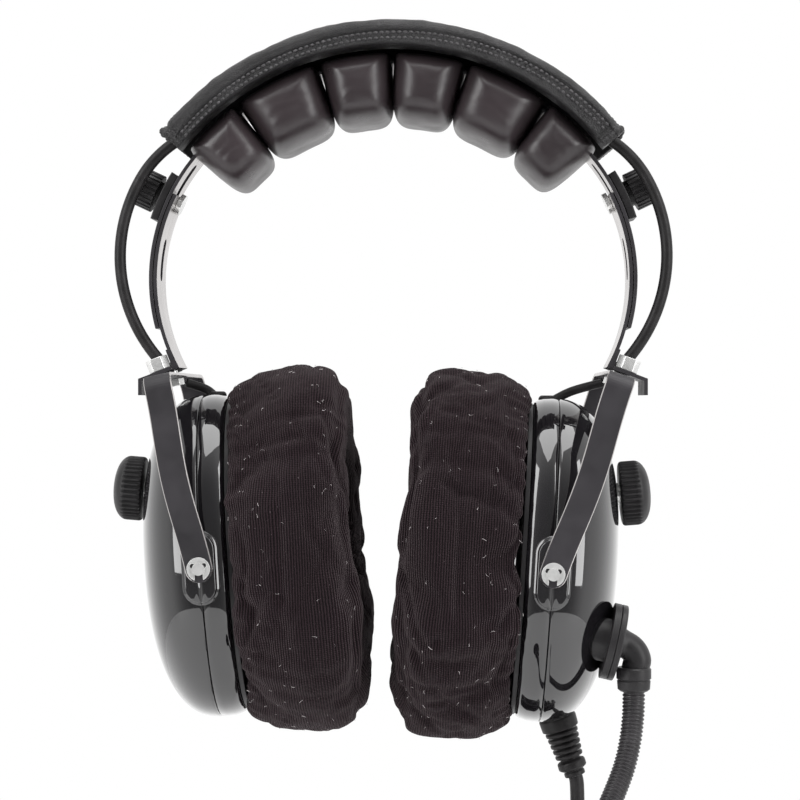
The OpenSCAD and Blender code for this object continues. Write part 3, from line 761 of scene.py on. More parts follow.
def plug(name, lead, shaft_r, tip_z):
    """Black handle with grip rings round it, and a plated shaft with its insulating rings."""
    top = Vector(lead[-2])
    handle_len = 32
    place = Matrix.Translation(top) @ Matrix.Diagonal((1, 1, -1, 1))
    tip = top.z - tip_z
    grips = []
    for k in range(7):
        z = 9 + 2.1 * k
        grips += [(5.6, z), (5.25, z + 0.35), (5.25, z + 0.95), (5.6, z + 1.3)]
    outline = rounded([(0.01, 0), (3.1, 0), (3.6, 2.5), (5.4, 7.6)], 0.6) + [Vector(g) for g in grips]
    outline += rounded([(5.6, 25), (5.6, handle_len), (shaft_r + 1.2, handle_len), (0.01, handle_len)], 0.5)
    handle = lathe(name + "_handle", outline, MATERIALS["black_plastic"], place)
    outline = [(0.01, handle_len - 1), (shaft_r, handle_len - 1), (shaft_r, tip - 13),
               (shaft_r - 0.25, tip - 12.9), (shaft_r - 0.25, tip - 12.1), (shaft_r, tip - 12), (shaft_r, tip - 8),
               (shaft_r - 0.25, tip - 7.9), (shaft_r - 0.25, tip - 7.1), (shaft_r, tip - 7),
               (shaft_r * 0.72, tip - 4.6), (shaft_r * 0.7, tip - 4.2), (shaft_r, tip - 3.2),
               (shaft_r * 0.95, tip - 2.2), (shaft_r * 0.4, tip), (0.01, tip)]
    shaft = lathe(name + "_shaft", outline, MATERIALS["plug_metal"], place)
    settle(handle, "cup_r", "black_plastic", name)
    settle(shaft, "cup_r", "plug_metal", name)
    return [handle, shaft]


def y_boot():
    """Moulded body where the cable splits: a ribbed neck that widens into a flat block with two outlets."""
    low, high = low_corner("y_boot"), high_corner("y_boot")
    middle = (low + high) / 2
    half_w, half_t = (high.x - low.x) / 2, 3.2
    levels = [(high.z, 3.3, 3.3), (high.z - 0.4, 3.7, 3.6)]
    for k in range(3):
        z = high.z - 1.4 - 2 * k
        levels += [(z, 3.9 + 0.3 * k, 3.7), (z - 0.5, 3.3 + 0.3 * k, 3.1), (z - 1, 3.4 + 0.3 * k, 3.2)]
    levels += [(high.z - 8, 6.5, 3.4), (high.z - 10.5, half_w - 0.3, half_t), (low.z + 1, half_w, half_t),
               (low.z + 0.2, half_w - 0.5, half_t - 0.4), (low.z, half_w - 1.3, half_t - 1)]
    rings = []
    for z, w, t in levels:
        squareness = 2 if z > high.z - 7.6 else 4
        rings.append([(middle.x + w * power_of(math.cos(a), squareness),
                       t * power_of(math.sin(a), squareness), z) for a in circle(40)])
    piece = make_piece("y_boot_moulding", *tube_mesh(rings), MATERIALS["cable_rubber"])
    return settle(piece, "cup_r", "cable_rubber", "y_boot")


def coil_strap():
    """Hook-and-loop strap pulled tight round the bundle, opposite the side where the cable comes in."""
    width, thick, slack = 9, 1.1, 0.35
    places = [bundle_place(k) for k in range(len(BUNDLE))]
    around = 72
    half = [(width / 2 - 0.4, 0), (width / 2, 0.3), (width / 2, thick - 0.3), (width / 2 - 0.4, thick)]
    profile = [(-w, d) for w, d in half] + [(w, d) for w, d in reversed(half)]
    points = []
    for a in circle(around):
        way = Vector((math.cos(a), math.sin(a)))
        reach = max(p.dot(way) for p in places) + CABLE_D / 2 + slack
        for along, lift in profile:
            spot = way * (reach + lift)
            points.append((COIL_CENTRE.x - COIL_R - spot.x, spot.y, COIL_CENTRE.z + along))
    faces = grid_faces(around, len(profile), wrap_rows=True)
    piece = make_piece("coil_strap", points, faces, MATERIALS["black_plastic"])
    return settle(piece, "cup_r", "black_plastic", "cable_tie")


def strain_relief():
    """Cap, five flexing ribs, bulb and lip, turned about the cable."""
    tilt = math.radians(180 - 17.5)
    place = Matrix.Translation((54.2, 0, -47.4)) @ Matrix.Rotation(tilt, 4, "Y")
    ribs = 5
    outline = rounded([(0.01, 0), (5.6, 0), (6.3, 0.9), (6.15, 4.7), (4.5, 5.1)], 0.5)
    for k in range(ribs):
        z = 5.35 + 1.95 * k
        r = 5.55 - 0.22 * k
        outline += [Vector(p) for p in ((r - 1.5, z), (r - 0.15, z + 0.12), (r, z + 0.45), (r - 0.1, z + 1.15),
                                        (r - 0.3, z + 1.35), (r - 1.6, z + 1.5))]
    outline += rounded([(3.4, 15.3), (4.7, 15.9), (4.75, 18.2), (3.1, 19.2), (3.5, 19.6), (3.5, 20.9), (2.6, 21),
                        (0.01, 21)], 0.5)
    piece = lathe("cable_boot", outline, MATERIALS["cable_rubber"], place)
    return settle(piece, "cup_r", "cable_rubber", "strain_relief")


def cable():
    line = through(DROP + coil_line() + TAIL, 4)
    main = cord_curve("main_cable", line, CABLE_D, "cup_r", "cable_drop", "cable_coil", "cable_tail")
    pieces = [strain_relief(), y_boot(), coil_strap()]
    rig.cord(main, exit=Vector(DROP[0]) * MM, length=MAIN_LENGTH, diameter=CABLE_D * MM,
            far_end="fitting", stiffness="medium", lay="coiled", with_pieces=pieces)
    for name, lead, shaft_r in (("phone", PHONE_LEAD, PHONE_R), ("mic", MIC_LEAD, MIC_PLUG_R)):
        node = "plug_" + name
        cord = cord_curve(name + "_lead", through(lead, 6), LEAD_D, "cup_r", "lead_" + name)
        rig.cord(cord, exit=Vector(lead[0]) * MM, length=LEAD_LENGTH, diameter=LEAD_D * MM, far_end="plug",
                stiffness="medium", lay="hanging", with_pieces=plug(node, lead, shaft_r, low_corner(node).z))


cable()


# ---- cup shells ----

CUP_A, CUP_B, CUP_UP = 39.0, 53.6, 1.4
SHELL_COLS = 128
OVAL_POWER = 2.2
DOME_POWER = 2.4
WALL = 2.2
DOME_H = 22.5
INNER_H = 8.4
SEAM = 0.05
SEAM_ROUND = 0.35


def oval(x, a, b, up, cols):
    """Ring at x, with half sizes a across and b up."""
    return [(x, a * power_of(math.cos(t), OVAL_POWER), up + b * power_of(math.sin(t), OVAL_POWER))
            for t in circle(cols)]


def dome_rings(height, a, b, cols):
    """Rings from the seam to just short of the pole."""
    steps = 26
    last_angle = 89.4
    rings = []
    for k in range(steps + 1):
        u = math.sin(math.radians(last_angle * k / steps))
        s = (1 - u ** DOME_POWER) ** (1 / DOME_POWER)
        rings.append(oval(max(height * u, SEAM + SEAM_ROUND), a * s, b * s, CUP_UP, cols))
    return rings


def boss_half(way, face):
    """Rings of half of a raised pad with round ends, on one side of the seam (way) and one face of the cup."""
    radius, rise, top, step = 5.0, 6.0, 41.3, 39.7
    levels = [(0.9, 34), (0.9, step - 0.3), (0.7, step), (0.2, step + 0.05), (0, step + 0.3), (0, top - 0.5),
              (-0.15, top - 0.15), (-0.5, top)]
    rings = []
    for grow, y in levels:
        r = radius + grow
        arc = [(r * math.sin(math.pi / 2 * k / 10), rise + r * math.cos(math.pi / 2 * k / 10)) for k in range(11)]
        outline = arc + [(x, -z) for x, z in reversed(arc)]
        rings.append([(way * max(x, SEAM), face * y, z) for x, z in outline])
    return rings


def add_solid(points, faces, rings):
    """Adds a closed solid through rings to the lists points and faces."""
    more_points, more_faces = tube_mesh(rings)
    first = len(points)
    faces += [tuple(i + first for i in face) for face in more_faces]
    points += more_points


def outer_shell(side):
    """Glossy dome with half of each pivot pad."""
    inside = dome_rings(DOME_H - WALL, CUP_A - WALL, CUP_B - WALL, SHELL_COLS)
    outside = dome_rings(DOME_H, CUP_A, CUP_B, SHELL_COLS)
    rim = [oval(SEAM, CUP_A - d, CUP_B - d, CUP_UP, SHELL_COLS) for d in (WALL, SEAM_ROUND)]
    points, faces = tube_mesh(inside[::-1] + rim + outside)
    for face in (-1, 1):
        add_solid(points, faces, boss_half(1, face))
    piece = make_piece("cup_outer_" + side, points, faces, MATERIALS["gloss_shell"], cup_frame(side))
    settle(piece, "cup_" + side, "gloss_shell", "outer_shell_" + side)


def inner_shell(side):
    """Glossy ring between the dome and the seal, with the other half of each pivot pad."""
    levels = [(-SEAM, -SEAM_ROUND), (-SEAM - SEAM_ROUND, 0), (-2.5, -0.05), (-5, -0.3), (-7, -0.9), (-8, -1.5),
              (-INNER_H, -2.4), (-INNER_H, -WALL - 1.2), (-7.4, -WALL - 1.2), (-3, -WALL), (-SEAM, -WALL)]
    points = [p for x, d in levels for p in oval(x, CUP_A + d, CUP_B + d, CUP_UP, SHELL_COLS)]
    faces = grid_faces(len(levels), SHELL_COLS, wrap_rows=True)
    for face in (-1, 1):
        add_solid(points, faces, boss_half(-1, face))
    piece = make_piece("cup_inner_" + side, points, faces, MATERIALS["gloss_shell"], cup_frame(side))
    settle(piece, "cup_" + side, "gloss_shell", "inner_shell_" + side)


# ---- ear seals ----

SEAL_UP = 2.7
COVER_SLIM = 1.5
# Across the cushion: back hem, outer wall, head side, then the ear hole (x, half depth, half height)
SEAL_PROFILE = [
    (-12.2, 34.5, 49.0), (-9.9, 38.0, 52.6), (-10.6, 40.6, 55.0), (-14.2, 42.8, 57.0), (-19, 44.7, 58.8),
    (-26, 46.2, 60.4), (-33, 46.6, 61.6), (-39.5, 45.8, 61.4), (-44.4, 43.2, 59.2), (-47.4, 38.6, 54.6),
    (-48.3, 32.4, 47.2), (-47.6, 26.0, 38.8), (-44.6, 21.2, 32.8), (-39, 19.2, 30.2), (-28, 19, 30),
    (-16, 19.2, 30.2), (-12.6, 26, 38)]
SEAL_SEED = {"l": Vector((3.1, 7.7, 1.3)), "r": Vector((21.4, 2.9, 15.2))}


def soft_noise(p, scale, seed):
    """Noise at a point, with features about that many millimetres across."""
    return noise.noise(Vector(p) / scale + seed)


def crease(value, width):
    """1 in the valley where value passes zero, and 0 away from it."""
    return max(0.0, 1 - abs(value) / width) ** 2


def seal_relief(side, p, u, v):
    """How far the cloth stands proud at a point, from its place, its length round and its length across."""
    seed = SEAL_SEED[side]
    lumps = 1.7 * soft_noise(p, 26, seed) + 0.9 * soft_noise(p, 11, seed)
    slanting = noise.noise(Vector(((v + 0.45 * u) / 9, u / 46, 0)) + seed)
    upright = noise.noise(Vector((v / 8, u / 70, 9)) + seed)
    across = noise.noise(Vector((v / 60, u / 12, 4)) + seed)
    patch = min(1.0, max(0.0, 0.55 + 1.4 * soft_noise(p, 34, seed + Vector((5, 5, 5)))))
    folds = 2.2 * crease(slanting, 0.16) * patch + 1.8 * crease(upright, 0.1) * (1.2 - patch)
    folds += 1.7 * crease(across, 0.12) * patch
    hem = max(0.0, 1 - v / 17)
    gathers = hem * (0.8 * math.sin(u / 0.95 + 4 * noise.noise(Vector((u / 14, 0, 0)) + seed)) - 0.2)
    roll = math.exp(-((v - 46 - 3.5 * noise.noise(Vector((u / 38, 2, 0)) + seed)) / 2.0) ** 2)
    low_bulge = 2.4 * max(0, 1 - math.hypot(p[2] + 26, p[0] + 44) / 24)
    return max(lumps - folds + gathers - 2.0 * roll, -3.4) + low_bulge


def cloth_settle(obj, pressure, grow, frames, cap_mm, held):
    """Swells and buckles a mesh as cloth cut a little too large, and caps how far a point moves."""
    rest = np.array([v.co for v in obj.data.vertices])
    group = obj.vertex_groups.new(name="held")
    group.add(held, 1.0, "REPLACE")
    cloth = obj.modifiers.new("cloth", "CLOTH")
    cloth.settings.quality = 4
    cloth.settings.mass = 0.12
    cloth.settings.tension_stiffness = 14
    cloth.settings.compression_stiffness = 14
    cloth.settings.shear_stiffness = 6
    cloth.settings.bending_stiffness = 0.05
    cloth.settings.shrink_min = -grow
    cloth.settings.use_pressure = pressure > 0
    cloth.settings.uniform_pressure_force = pressure
    cloth.settings.effector_weights.gravity = 0
    cloth.settings.vertex_group_mass = group.name
    cloth.collision_settings.use_collision = False
    scene = bpy.context.scene
    cloth.point_cache.frame_start = 1
    cloth.point_cache.frame_end = frames
    for f in range(1, frames + 1):
        scene.frame_set(f)
    painted_rib_shade = obj.evaluated_get(bpy.context.evaluated_depsgraph_get()).to_mesh()
    moved = np.array([v.co for v in painted_rib_shade.vertices]) - rest
    obj.modifiers.remove(cloth)
    far = np.linalg.norm(moved, axis=1)[:, None]
    moved *= np.minimum(1, cap_mm * MM / np.maximum(far, 1e-9))
    obj.data.vertices.foreach_set("co", (rest + moved).ravel())
    obj.data.update()
    obj.vertex_groups.remove(group)
    scene.frame_set(1)


def seal_cover(side):
    """Knitted cover, gathered at its hem, over the cushion. It reaches into the ear hole."""
    cols = 168
    profile = [Vector(p) for p in through(SEAL_PROFILE, 4, closed=True)]
    rows = len(profile)
    across = [0.0]
    for a, b in zip(profile, profile[1:]):
        across.append(across[-1] + math.hypot(b.x - a.x, (b.y - a.y + b.z - a.z) / 2))
    points = []
    for (x, a, b), v in zip(profile, across):
        slim = COVER_SLIM * min(1, v / 22)
        points += oval(x, a, b - slim, SEAL_UP - slim / 2, cols)
    piece = make_piece("knit_cover_" + side, points, grid_faces(rows, cols, wrap_rows=True),
                       MATERIALS["knit_cloth"], cup_frame(side))
    mesh = piece.data
    step = 2 * math.pi * math.sqrt((46.2 ** 2 + 61 ** 2) / 2) / cols
    weave = mesh.attributes.new("weave", "FLOAT_VECTOR", "POINT")
    weave.data.foreach_set("vector", [n for v in across for k in range(cols) for n in (k * step, v, 0)])
    normals = [v.normal.copy() for v in mesh.vertices]
    for i, (vertex, normal) in enumerate(zip(mesh.vertices, normals)):
        row, col = divmod(i, cols)
        # the noise closes on itself because its length round is folded at the back of the cushion
        u = step * abs(col - cols / 2)
        vertex.co += normal * seal_relief(side, points[i], u + 30, across[row]) * MM
    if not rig.quick():
        held = [i for i in range(len(points)) if not 2 <= i // cols <= rows * 0.62]
        cloth_settle(piece, 1.2, 0.035, 14, 2.6, held)
    modifier(piece, "smooth", "SUBSURF", levels=1, render_levels=1)
    settle(piece, "cup_" + side, "knit_cloth", "seal_cover_" + side)
    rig.padded(piece, fill=0.7)
    lint(side, piece, rows, cols)


def lint(side, cover, rows, cols):
    """Short pale fibres that lie on the knit, curled at random."""
    draw = random.Random(11 if side == "l" else 12)
    mesh = cover.data
    points, faces = [], []
    for _ in range(260):
        row, col = draw.randrange(int(rows * 0.1), int(rows * 0.55)), draw.randrange(cols)
        vertex = mesh.vertices[row * cols + col]
        normal = vertex.normal.copy()
        along = normal.orthogonal().normalized()
        along.rotate(Matrix.Rotation(draw.uniform(0, 2 * math.pi), 3, normal))
        turn = Matrix.Rotation(draw.uniform(-0.7, 0.7), 3, normal)
        at = vertex.co / MM + normal * 0.16
        step = draw.uniform(0.12, 0.42)
        line = [at.copy()]
        for _ in range(4):
            at = at + along * step
            along = turn @ along
            line.append(at.copy())
        radius = draw.uniform(0.05, 0.1)
        rings = []
        for p in line:
            out = normal * radius
            beside = normal.cross(along).normalized() * radius
            rings.append([p + out, p - 0.5 * out + 0.87 * beside, p - 0.5 * out - 0.87 * beside])
        add_solid(points, faces, rings)
    piece = make_piece("lint_" + side, points, faces, MATERIALS["lint_fibre"])
    settle(piece, "cup_" + side, "knit_cloth")


def ear_cushion(side):
    """Foam ring in its thin skin, inside the knitted cover."""
    cols, inset = 96, 8.5
    profile = through([(x, a, b) for x, a, b in SEAL_PROFILE[1:]], 2, closed=True)
    centre = sum(np.array(p) for p in profile) / len(profile)
    points = []
    for p in profile:
        way = centre - p
        x, a, b = p + way / np.linalg.norm(way) * inset
        points += oval(x, a, b, SEAL_UP, cols)
    piece = make_piece("ear_cushion_" + side, points, grid_faces(len(profile), cols, wrap_rows=True),
                       MATERIALS["seal_vinyl"], cup_frame(side))
    settle(piece, "cup_" + side, "seal_vinyl", "ear_seal_" + side)
    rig.padded(piece, fill=0.8)


for s in SIDES:
    outer_shell(s)
    inner_shell(s)
    ear_cushion(s)
    seal_cover(s)


# ---- headpad ----

COVER_END = 38.4
COVER_ARC = 180 - 2 * COVER_END
COVER_LOW = 87.5
COVER_HALF = 25
CHANNEL_HALF = 14
CHANNEL_ROOF = 94.5
STITCH_PITCH = 1.9
CROSS_Y = -9.2
NOTCH_HALF, NOTCH_DEG, NOTCH_EASE = 4.35, 5.4, 14
PILLOW_EDGES = [39, 53.7, 73.5, 90, 106.5, 126.3, 141]
PILLOW_SPLIT = 0.25
CROWNING = 3.2
PILLOW_LOW, PILLOW_HIGH, PILLOW_HALF = 64.2, 87.2, 23.5


def on_crown(angle, r, y):
    a = math.radians(angle)
    return Vector((r * math.cos(a), y, CROWN_Z + r * math.sin(a)))


def seam_radius(angle):
    """The seam under the smooth top panel sits lower towards the left end."""
    t = (angle - COVER_END) / COVER_ARC
    return 93.5 - 3.0 * t


def cover_section(angle):
    """Outline across the cover as (y, r): a padded top, straight faces and a channel for the spring."""
    side = [(COVER_HALF - 0.9, COVER_LOW), (COVER_HALF - 0.25, COVER_LOW + 0.3), (COVER_HALF, COVER_LOW + 0.9)]
    seam = seam_radius(angle)
    for k in range(13):
        r = COVER_LOW + 1.1 + 0.42 * k
        side.append((COVER_HALF - 0.55 * math.exp(-((r - seam) / 0.42) ** 2), r))
    top = [(COVER_HALF - 0.1, 94.0), (COVER_HALF - 0.7, 94.9), (COVER_HALF - 1.8, 95.7), (COVER_HALF - 4, 96.3)]
    top += [(y, COVER_R - 0.6 * (y / 21) ** 2) for y in (17, 13.8, 13.5, 9.2, 4.9, 4.6)]
    half = side + top
    channel = [(CHANNEL_HALF, CHANNEL_ROOF - 0.4), (CHANNEL_HALF, COVER_LOW + 0.4),
               (CHANNEL_HALF + 0.4, COVER_LOW)]
    left = [(-y, r) for y, r in half]
    left_channel = [(-y, r) for y, r in channel]
    roof = [(y, CHANNEL_ROOF) for y in (-13.6, -13.5, -9.2, -4.9, -4.6, 13.6)]
    return half + [(0, COVER_R)] + left[::-1] + left_channel[::-1] + roof + channel


def past_notch(angle, y):
    """Draws the ends of the cover back where the crossover cables slide in as the arms move."""
    if abs(y - CROSS_Y) > NOTCH_HALF:
        return angle
    for end, way in ((COVER_END, 1), (180 - COVER_END, -1)):
        near = 1 - abs(angle - end) / NOTCH_EASE
        if near > 0:
            angle += way * NOTCH_DEG * near ** 2
    return angle


def end_tiles():
    """Faces over an end of the cover, in three parts, so that none bridges the notch."""
    section = cover_section(COVER_END)
    part_of = [(y < CROSS_Y + NOTCH_HALF) + (y < CROSS_Y - NOTCH_HALF) for y, r in section]
    tiles = []
    for part in range(3):
        inside = [i for i, own in enumerate(part_of) if own == part]
        cut = tessellate_polygon([[Vector((*section[i], 0)) for i in inside]])
        tiles += [tuple(inside[k] for k in tile) for tile in cut]
    a, b, c, d = [i for i in range(len(section) - 1) if part_of[i] != part_of[i + 1]]
    return tiles + [(a, a + 1, d, d + 1), (b, b + 1, c, c + 1)]


def is_outside(y, r, lift):
    """Whether a point of the section is on the outer surface, that far or more above the lower edge."""
    return r > COVER_LOW + lift and (abs(y) > CHANNEL_HALF + 1 or r > CHANNEL_ROOF + 0.6)


def headpad_cover():
    """Grained leather, dented, drawn in round its ends and open where the cables slide in."""
    steps = 260
    seed = Vector((4, 8, 2))
    rings = []
    for i in range(steps + 1):
        angle = COVER_END + COVER_ARC * i / steps
        from_end = min(i, steps - i) / steps * COVER_ARC
        roll = 0.5 * math.exp(-((from_end - 2.0) / 0.5) ** 2)
        ring = []
        for y, r in cover_section(angle):
            place = past_notch(angle, y) if r > CHANNEL_ROOF - 0.5 else angle
            if is_outside(y, r, 0.5):
                p = Vector((angle * 1.6, y, r))
                dent = 0.35 * noise.noise(p / 9 + seed) + 0.2 * noise.noise(p / 3.5 + seed)
                gather = math.exp(-from_end / 2.6) * 0.35 * math.sin(angle * 9 + y)
                grown = r + dent - roll + gather - 0.25
                y *= 1 + (dent * 0.6 - roll) / COVER_HALF
                r = min(grown, 97.2)
            ring.append(on_crown(place, r, y))
        rings.append(ring)
    points, faces = tube_mesh(rings)
    last = len(points) - len(rings[0])
    tiles = end_tiles()
    faces[-2:] = tiles + [tuple(i + last for i in tile) for tile in tiles]
    piece = make_piece("leather_cover", points, faces, MATERIALS["leather"])
    settle(piece, "headband", "leather", "headpad_cover")
    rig.padded(piece, fill=0.5)


def cover_stitches():
    """Two rows of thread below the seam, on the front and the back."""
    points, faces = [], []
    for face in (-1, 1):
        for drop in (0.75, 2.5):
            count = int((COVER_ARC - 5) * math.pi / 180 * 91 / STITCH_PITCH)
            for k in range(count):
                middle = COVER_END + 2.5 + (COVER_ARC - 5) * (k + 0.5) / count
                r = max(seam_radius(middle) - drop, COVER_LOW + 0.7)
                rings = []
                for along, size in ((-0.75, 0.14), (-0.6, 0.3), (-0.3, 0.4), (0, 0.43), (0.3, 0.4), (0.6, 0.3),
                                    (0.75, 0.14)):
                    sunk = 0.35 * (along / 0.75) ** 2
                    rings.append([on_crown(middle + math.degrees(along / r), r + size * math.cos(a),
                                           face * (COVER_HALF + 0.08 - sunk + size * math.sin(a)))
                                  for a in circle(6)])
                add_solid(points, faces, rings)
    piece = make_piece("cover_stitches", points, faces, MATERIALS["stitch_thread"])
    settle(piece, "headband", "leather")


def cover_hem(end):
    """Rolled edge of the cover at one end, wound with thread so that it is ribbed."""
    angle = COVER_END + 0.7 if end == "r" else 180 - COVER_END - 0.7
    outline = [(y, r - 0.9) for y, r in cover_section(angle) if is_outside(y, r, 1)]
    line = through([on_crown(past_notch(angle, y), r, y * 0.985) for y, r in outline], 2)
    points, faces = sweep(line, 0.3, lambda at: 1.15 + 0.12 * math.sin(2 * math.pi * at / 1.5), 14)
    piece = make_piece("cover_hem_" + end, points, faces, MATERIALS["leather"])
    settle(piece, "headband", "leather")


def head_pillow(k):
    """Stuffed vinyl pad between two angles. It draws in towards the leather, so the gaps open upwards."""
    a1, a2 = PILLOW_EDGES[k] + PILLOW_SPLIT, PILLOW_EDGES[k + 1] - PILLOW_SPLIT
    middle, half = (a1 + a2) / 2, (a2 - a1) / 2
    r_mid, r_half = (PILLOW_LOW + PILLOW_HIGH) / 2, (PILLOW_HIGH - PILLOW_LOW) / 2
    seed = Vector((k * 7.3, 1.1, 4.9))
    rows, cols = 56, 88
    rings = []
    for i in range(rows + 1):
        fi = math.pi * (0.012 + 0.976 * i / rows)
        ring = []
        for th in circle(cols):
            d = Vector((math.sin(fi) * math.cos(th), -math.cos(fi), math.sin(fi) * math.sin(th)))
            n = 4.0 if d.z < 0 else min(4.0 + 24 * d.z, 14)
            d /= ((abs(d.x) ** n + abs(d.z) ** n) ** (CROWNING / n) + abs(d.y) ** CROWNING) ** (1 / CROWNING)
            p = Vector((d.x * 11, d.y * 23, d.z * 11))
            near_edge = max(abs(d.x), abs(d.y)) ** 6
            relief = 0.5 * noise.noise(p / 10 + seed) + 0.06 * noise.noise(p / 3.2 + seed)
            pucker = 0.12 * near_edge * math.sin(p.z * 1.6 + 4 * noise.noise(p / 7 + seed))
            shrink = 1 - 0.015 + 0.02 * (relief + pucker)
            narrow = 1.035 - 0.045 * max(0, d.z)
            up = d.z * shrink if d.z < 0 else d.z
            ring.append(on_crown(middle + half * d.x * narrow, r_mid + r_half * up,
                                 PILLOW_HALF * d.y * shrink))
        rings.append(ring)
    piece = make_piece("pillow_%d" % (k + 1), *tube_mesh(rings), MATERIALS["pillow_vinyl"])
    settle(piece, "headband", "pillow_vinyl", "head_pillow_%d" % (k + 1))
    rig.padded(piece, fill=0.85)


headpad_cover()
cover_stitches()
for s in SIDES:
    cover_hem(s)
for number in range(6):
    head_pillow(number)


# ---- yokes ----

YOKE_W, YOKE_T, YOKE_Y, YOKE_BEND = 8.8, 1.2, 41.6, 5.0
YOKE_BOW = 1.3
YOKE_CUT = 0.28


def yoke_strip(side):
    """Bent strip with a round foot on each leg. Its narrow edges and chamfers take the bright steel as a painted
    highlight, and its broad faces the dark steel.
    """
    top = yoke_length(side)
    middle = YOKE_Y + YOKE_T / 2
    r = YOKE_BEND - YOKE_T / 2
    half_w = YOKE_W / 2
    path = [(-middle, -half_w * math.cos(math.radians(15 * k))) for k in range(7)]
    leg = top - YOKE_BEND
    path += [(-middle, leg * k / 24) for k in range(1, 25)]
    path += [(-middle + r - r * math.cos(math.radians(a)), leg + r * math.sin(math.radians(a)))
             for a in range(10, 100, 10)]
    path += [(y, top - YOKE_T / 2) for y in np.linspace(-middle + r, 0, 14)[1:]]
    path += [(-y, z) for y, z in path[-2::-1]]
    rings = []
    for i, (y, z) in enumerate(path):
        before, after = path[max(i - 1, 0)], path[min(i + 1, len(path) - 1)]
        ahead = Vector((after[0] - before[0], after[1] - before[1])).normalized()
        out = Vector((-ahead.y, ahead.x))
        w = math.sqrt(max(half_w ** 2 - min(z, 0) ** 2, 0.3))
        bow = YOKE_BOW * math.sin(math.pi * min(max(z / leg, 0), 1)) ** 2 if z < leg else 0
        t, c = YOKE_T / 2, YOKE_CUT
        section = [(-w, c - t), (-w, t - c), (c - w, t), (w - c, t),
                   (w, t - c), (w, c - t), (w - c, -t), (c - w, -t)]
        rings.append([(bow + u, y + out.x * v, z + out.y * v) for u, v in section])
    piece = make_piece("yoke_strip_" + side, *tube_mesh(rings), MATERIALS["dark_steel"], yoke_frame(side),
                       smooth=False)
    # Painted highlight: the narrow edges and chamfers get the bright steel, and the broad faces keep the dark steel
    piece.data.materials.append(MATERIALS["spring_steel"])
    for i, face in enumerate(piece.data.polygons):
        if i < len(path) * 8 - 8 and i % 8 in (0, 1, 3, 4, 5, 7):
            face.material_index = 1
    settle(piece, "yoke_" + side, "dark_steel", "yoke_" + side)


for s in SIDES:
    yoke_strip(s)


# ---- volume knobs ----

KNOB_R, KNOB_H, KNOB_RIBS = 10.7, 10.6, 40
DOME_FROM = 6.8


def volume_knob(side):
    """Ribbed skirt whose ribs end in scallops under a smooth domed cap."""
    place = (cup_frame(side) @ Matrix.Translation((20.6, 0, 24.5)) @ Matrix.Rotation(math.radians(-8), 4, "Y")
             @ Matrix.Rotation(math.radians(90), 4, "Y"))
    outline = [(0.01, 1.6), (KNOB_R - 1.1, 1.6), (KNOB_R - 0.4, 1.9), (KNOB_R - 0.1, 2.3)]
    outline += [(KNOB_R, z) for z in np.linspace(2.7, DOME_FROM, 9)]
    for k in range(1, 15):
        t = math.pi / 2 * k / 14
        outline.append((max(KNOB_R * math.cos(t) ** 0.8, 0.01),
                        DOME_FROM + (KNOB_H + 1.05 - DOME_FROM) * math.sin(t)))

    def ribs(a, z):
        fade = min(max((z - 1.7) / 0.5, 0), 1) * min(max((DOME_FROM + 1.2 - z) / 1.4, 0), 1)
        return -0.85 * fade * abs(math.sin(KNOB_RIBS * a / 2)) ** 1.6

    piece = lathe("ribbed_knob_" + side, outline, MATERIALS["black_plastic"], place, KNOB_RIBS * 10, ribs)
    node = "volume_knob_" + side
    settle(piece, body_of(node), "black_plastic", node)


for s in SIDES:
    volume_knob(s)


# ---- boom and microphone ----

GOOSE_ROUTE = [(78.2, -22, -36.4), (78, -22, -44), (77, -23, -52), (75, -25, -60), (71.5, -29, -68),
               (67, -35, -76), (61, -44, -83.5), (54.5, -54, -89), (48, -65, -93), (41, -76.5, -95.5),
               (34.5, -88, -96.5), (30, -96, -96.5)]
BOOM_AT = (71.8, -22, -20.5)
BOOM_TILT = 13
GOOSE_R = 3.65
GOOSE_RIB = 1.25
MIC_ANGLE = -119.4
SCREEN_R = 10.5
SCREEN_X = 16


def gooseneck():
    """Wound flexible arm: each turn of the wire shows as a rib."""

    def turn(at):
        return GOOSE_R - 0.42 * abs(math.sin(math.pi * at / GOOSE_RIB)) ** 3

    piece = make_piece("wound_arm", *sweep(through(GOOSE_ROUTE, 8), 0.18, turn, 28), MATERIALS["gooseneck_metal"])
    settle(piece, body_of("gooseneck"), "gooseneck_metal", "gooseneck")


def mic_screen():
    """Foam ball, a little uneven, with open pores."""
    place = (Matrix.Translation(GOOSE_ROUTE[-1]) @ Matrix.Rotation(math.radians(MIC_ANGLE), 4, "Z")
             @ Matrix.Translation((SCREEN_X, 0, 0)))
    work = bmesh.new()
    bmesh.ops.create_icosphere(work, subdivisions=6, radius=1)
    points = []
    for v in work.verts:
        d = v.co.normalized()
        relief = 0.35 * noise.noise(d * 2.2) + 0.16 * noise.noise(d * 14) - 0.2 * abs(noise.noise(d * 30))
        points.append(d * (SCREEN_R - 0.25 + relief))
    faces = [tuple(v.index for v in f.verts) for f in work.faces]
    work.free()
    piece = make_piece("foam_screen", points, faces, MATERIALS["foam"], place)
    settle(piece, body_of("mic_windscreen"), "foam", "mic_windscreen")


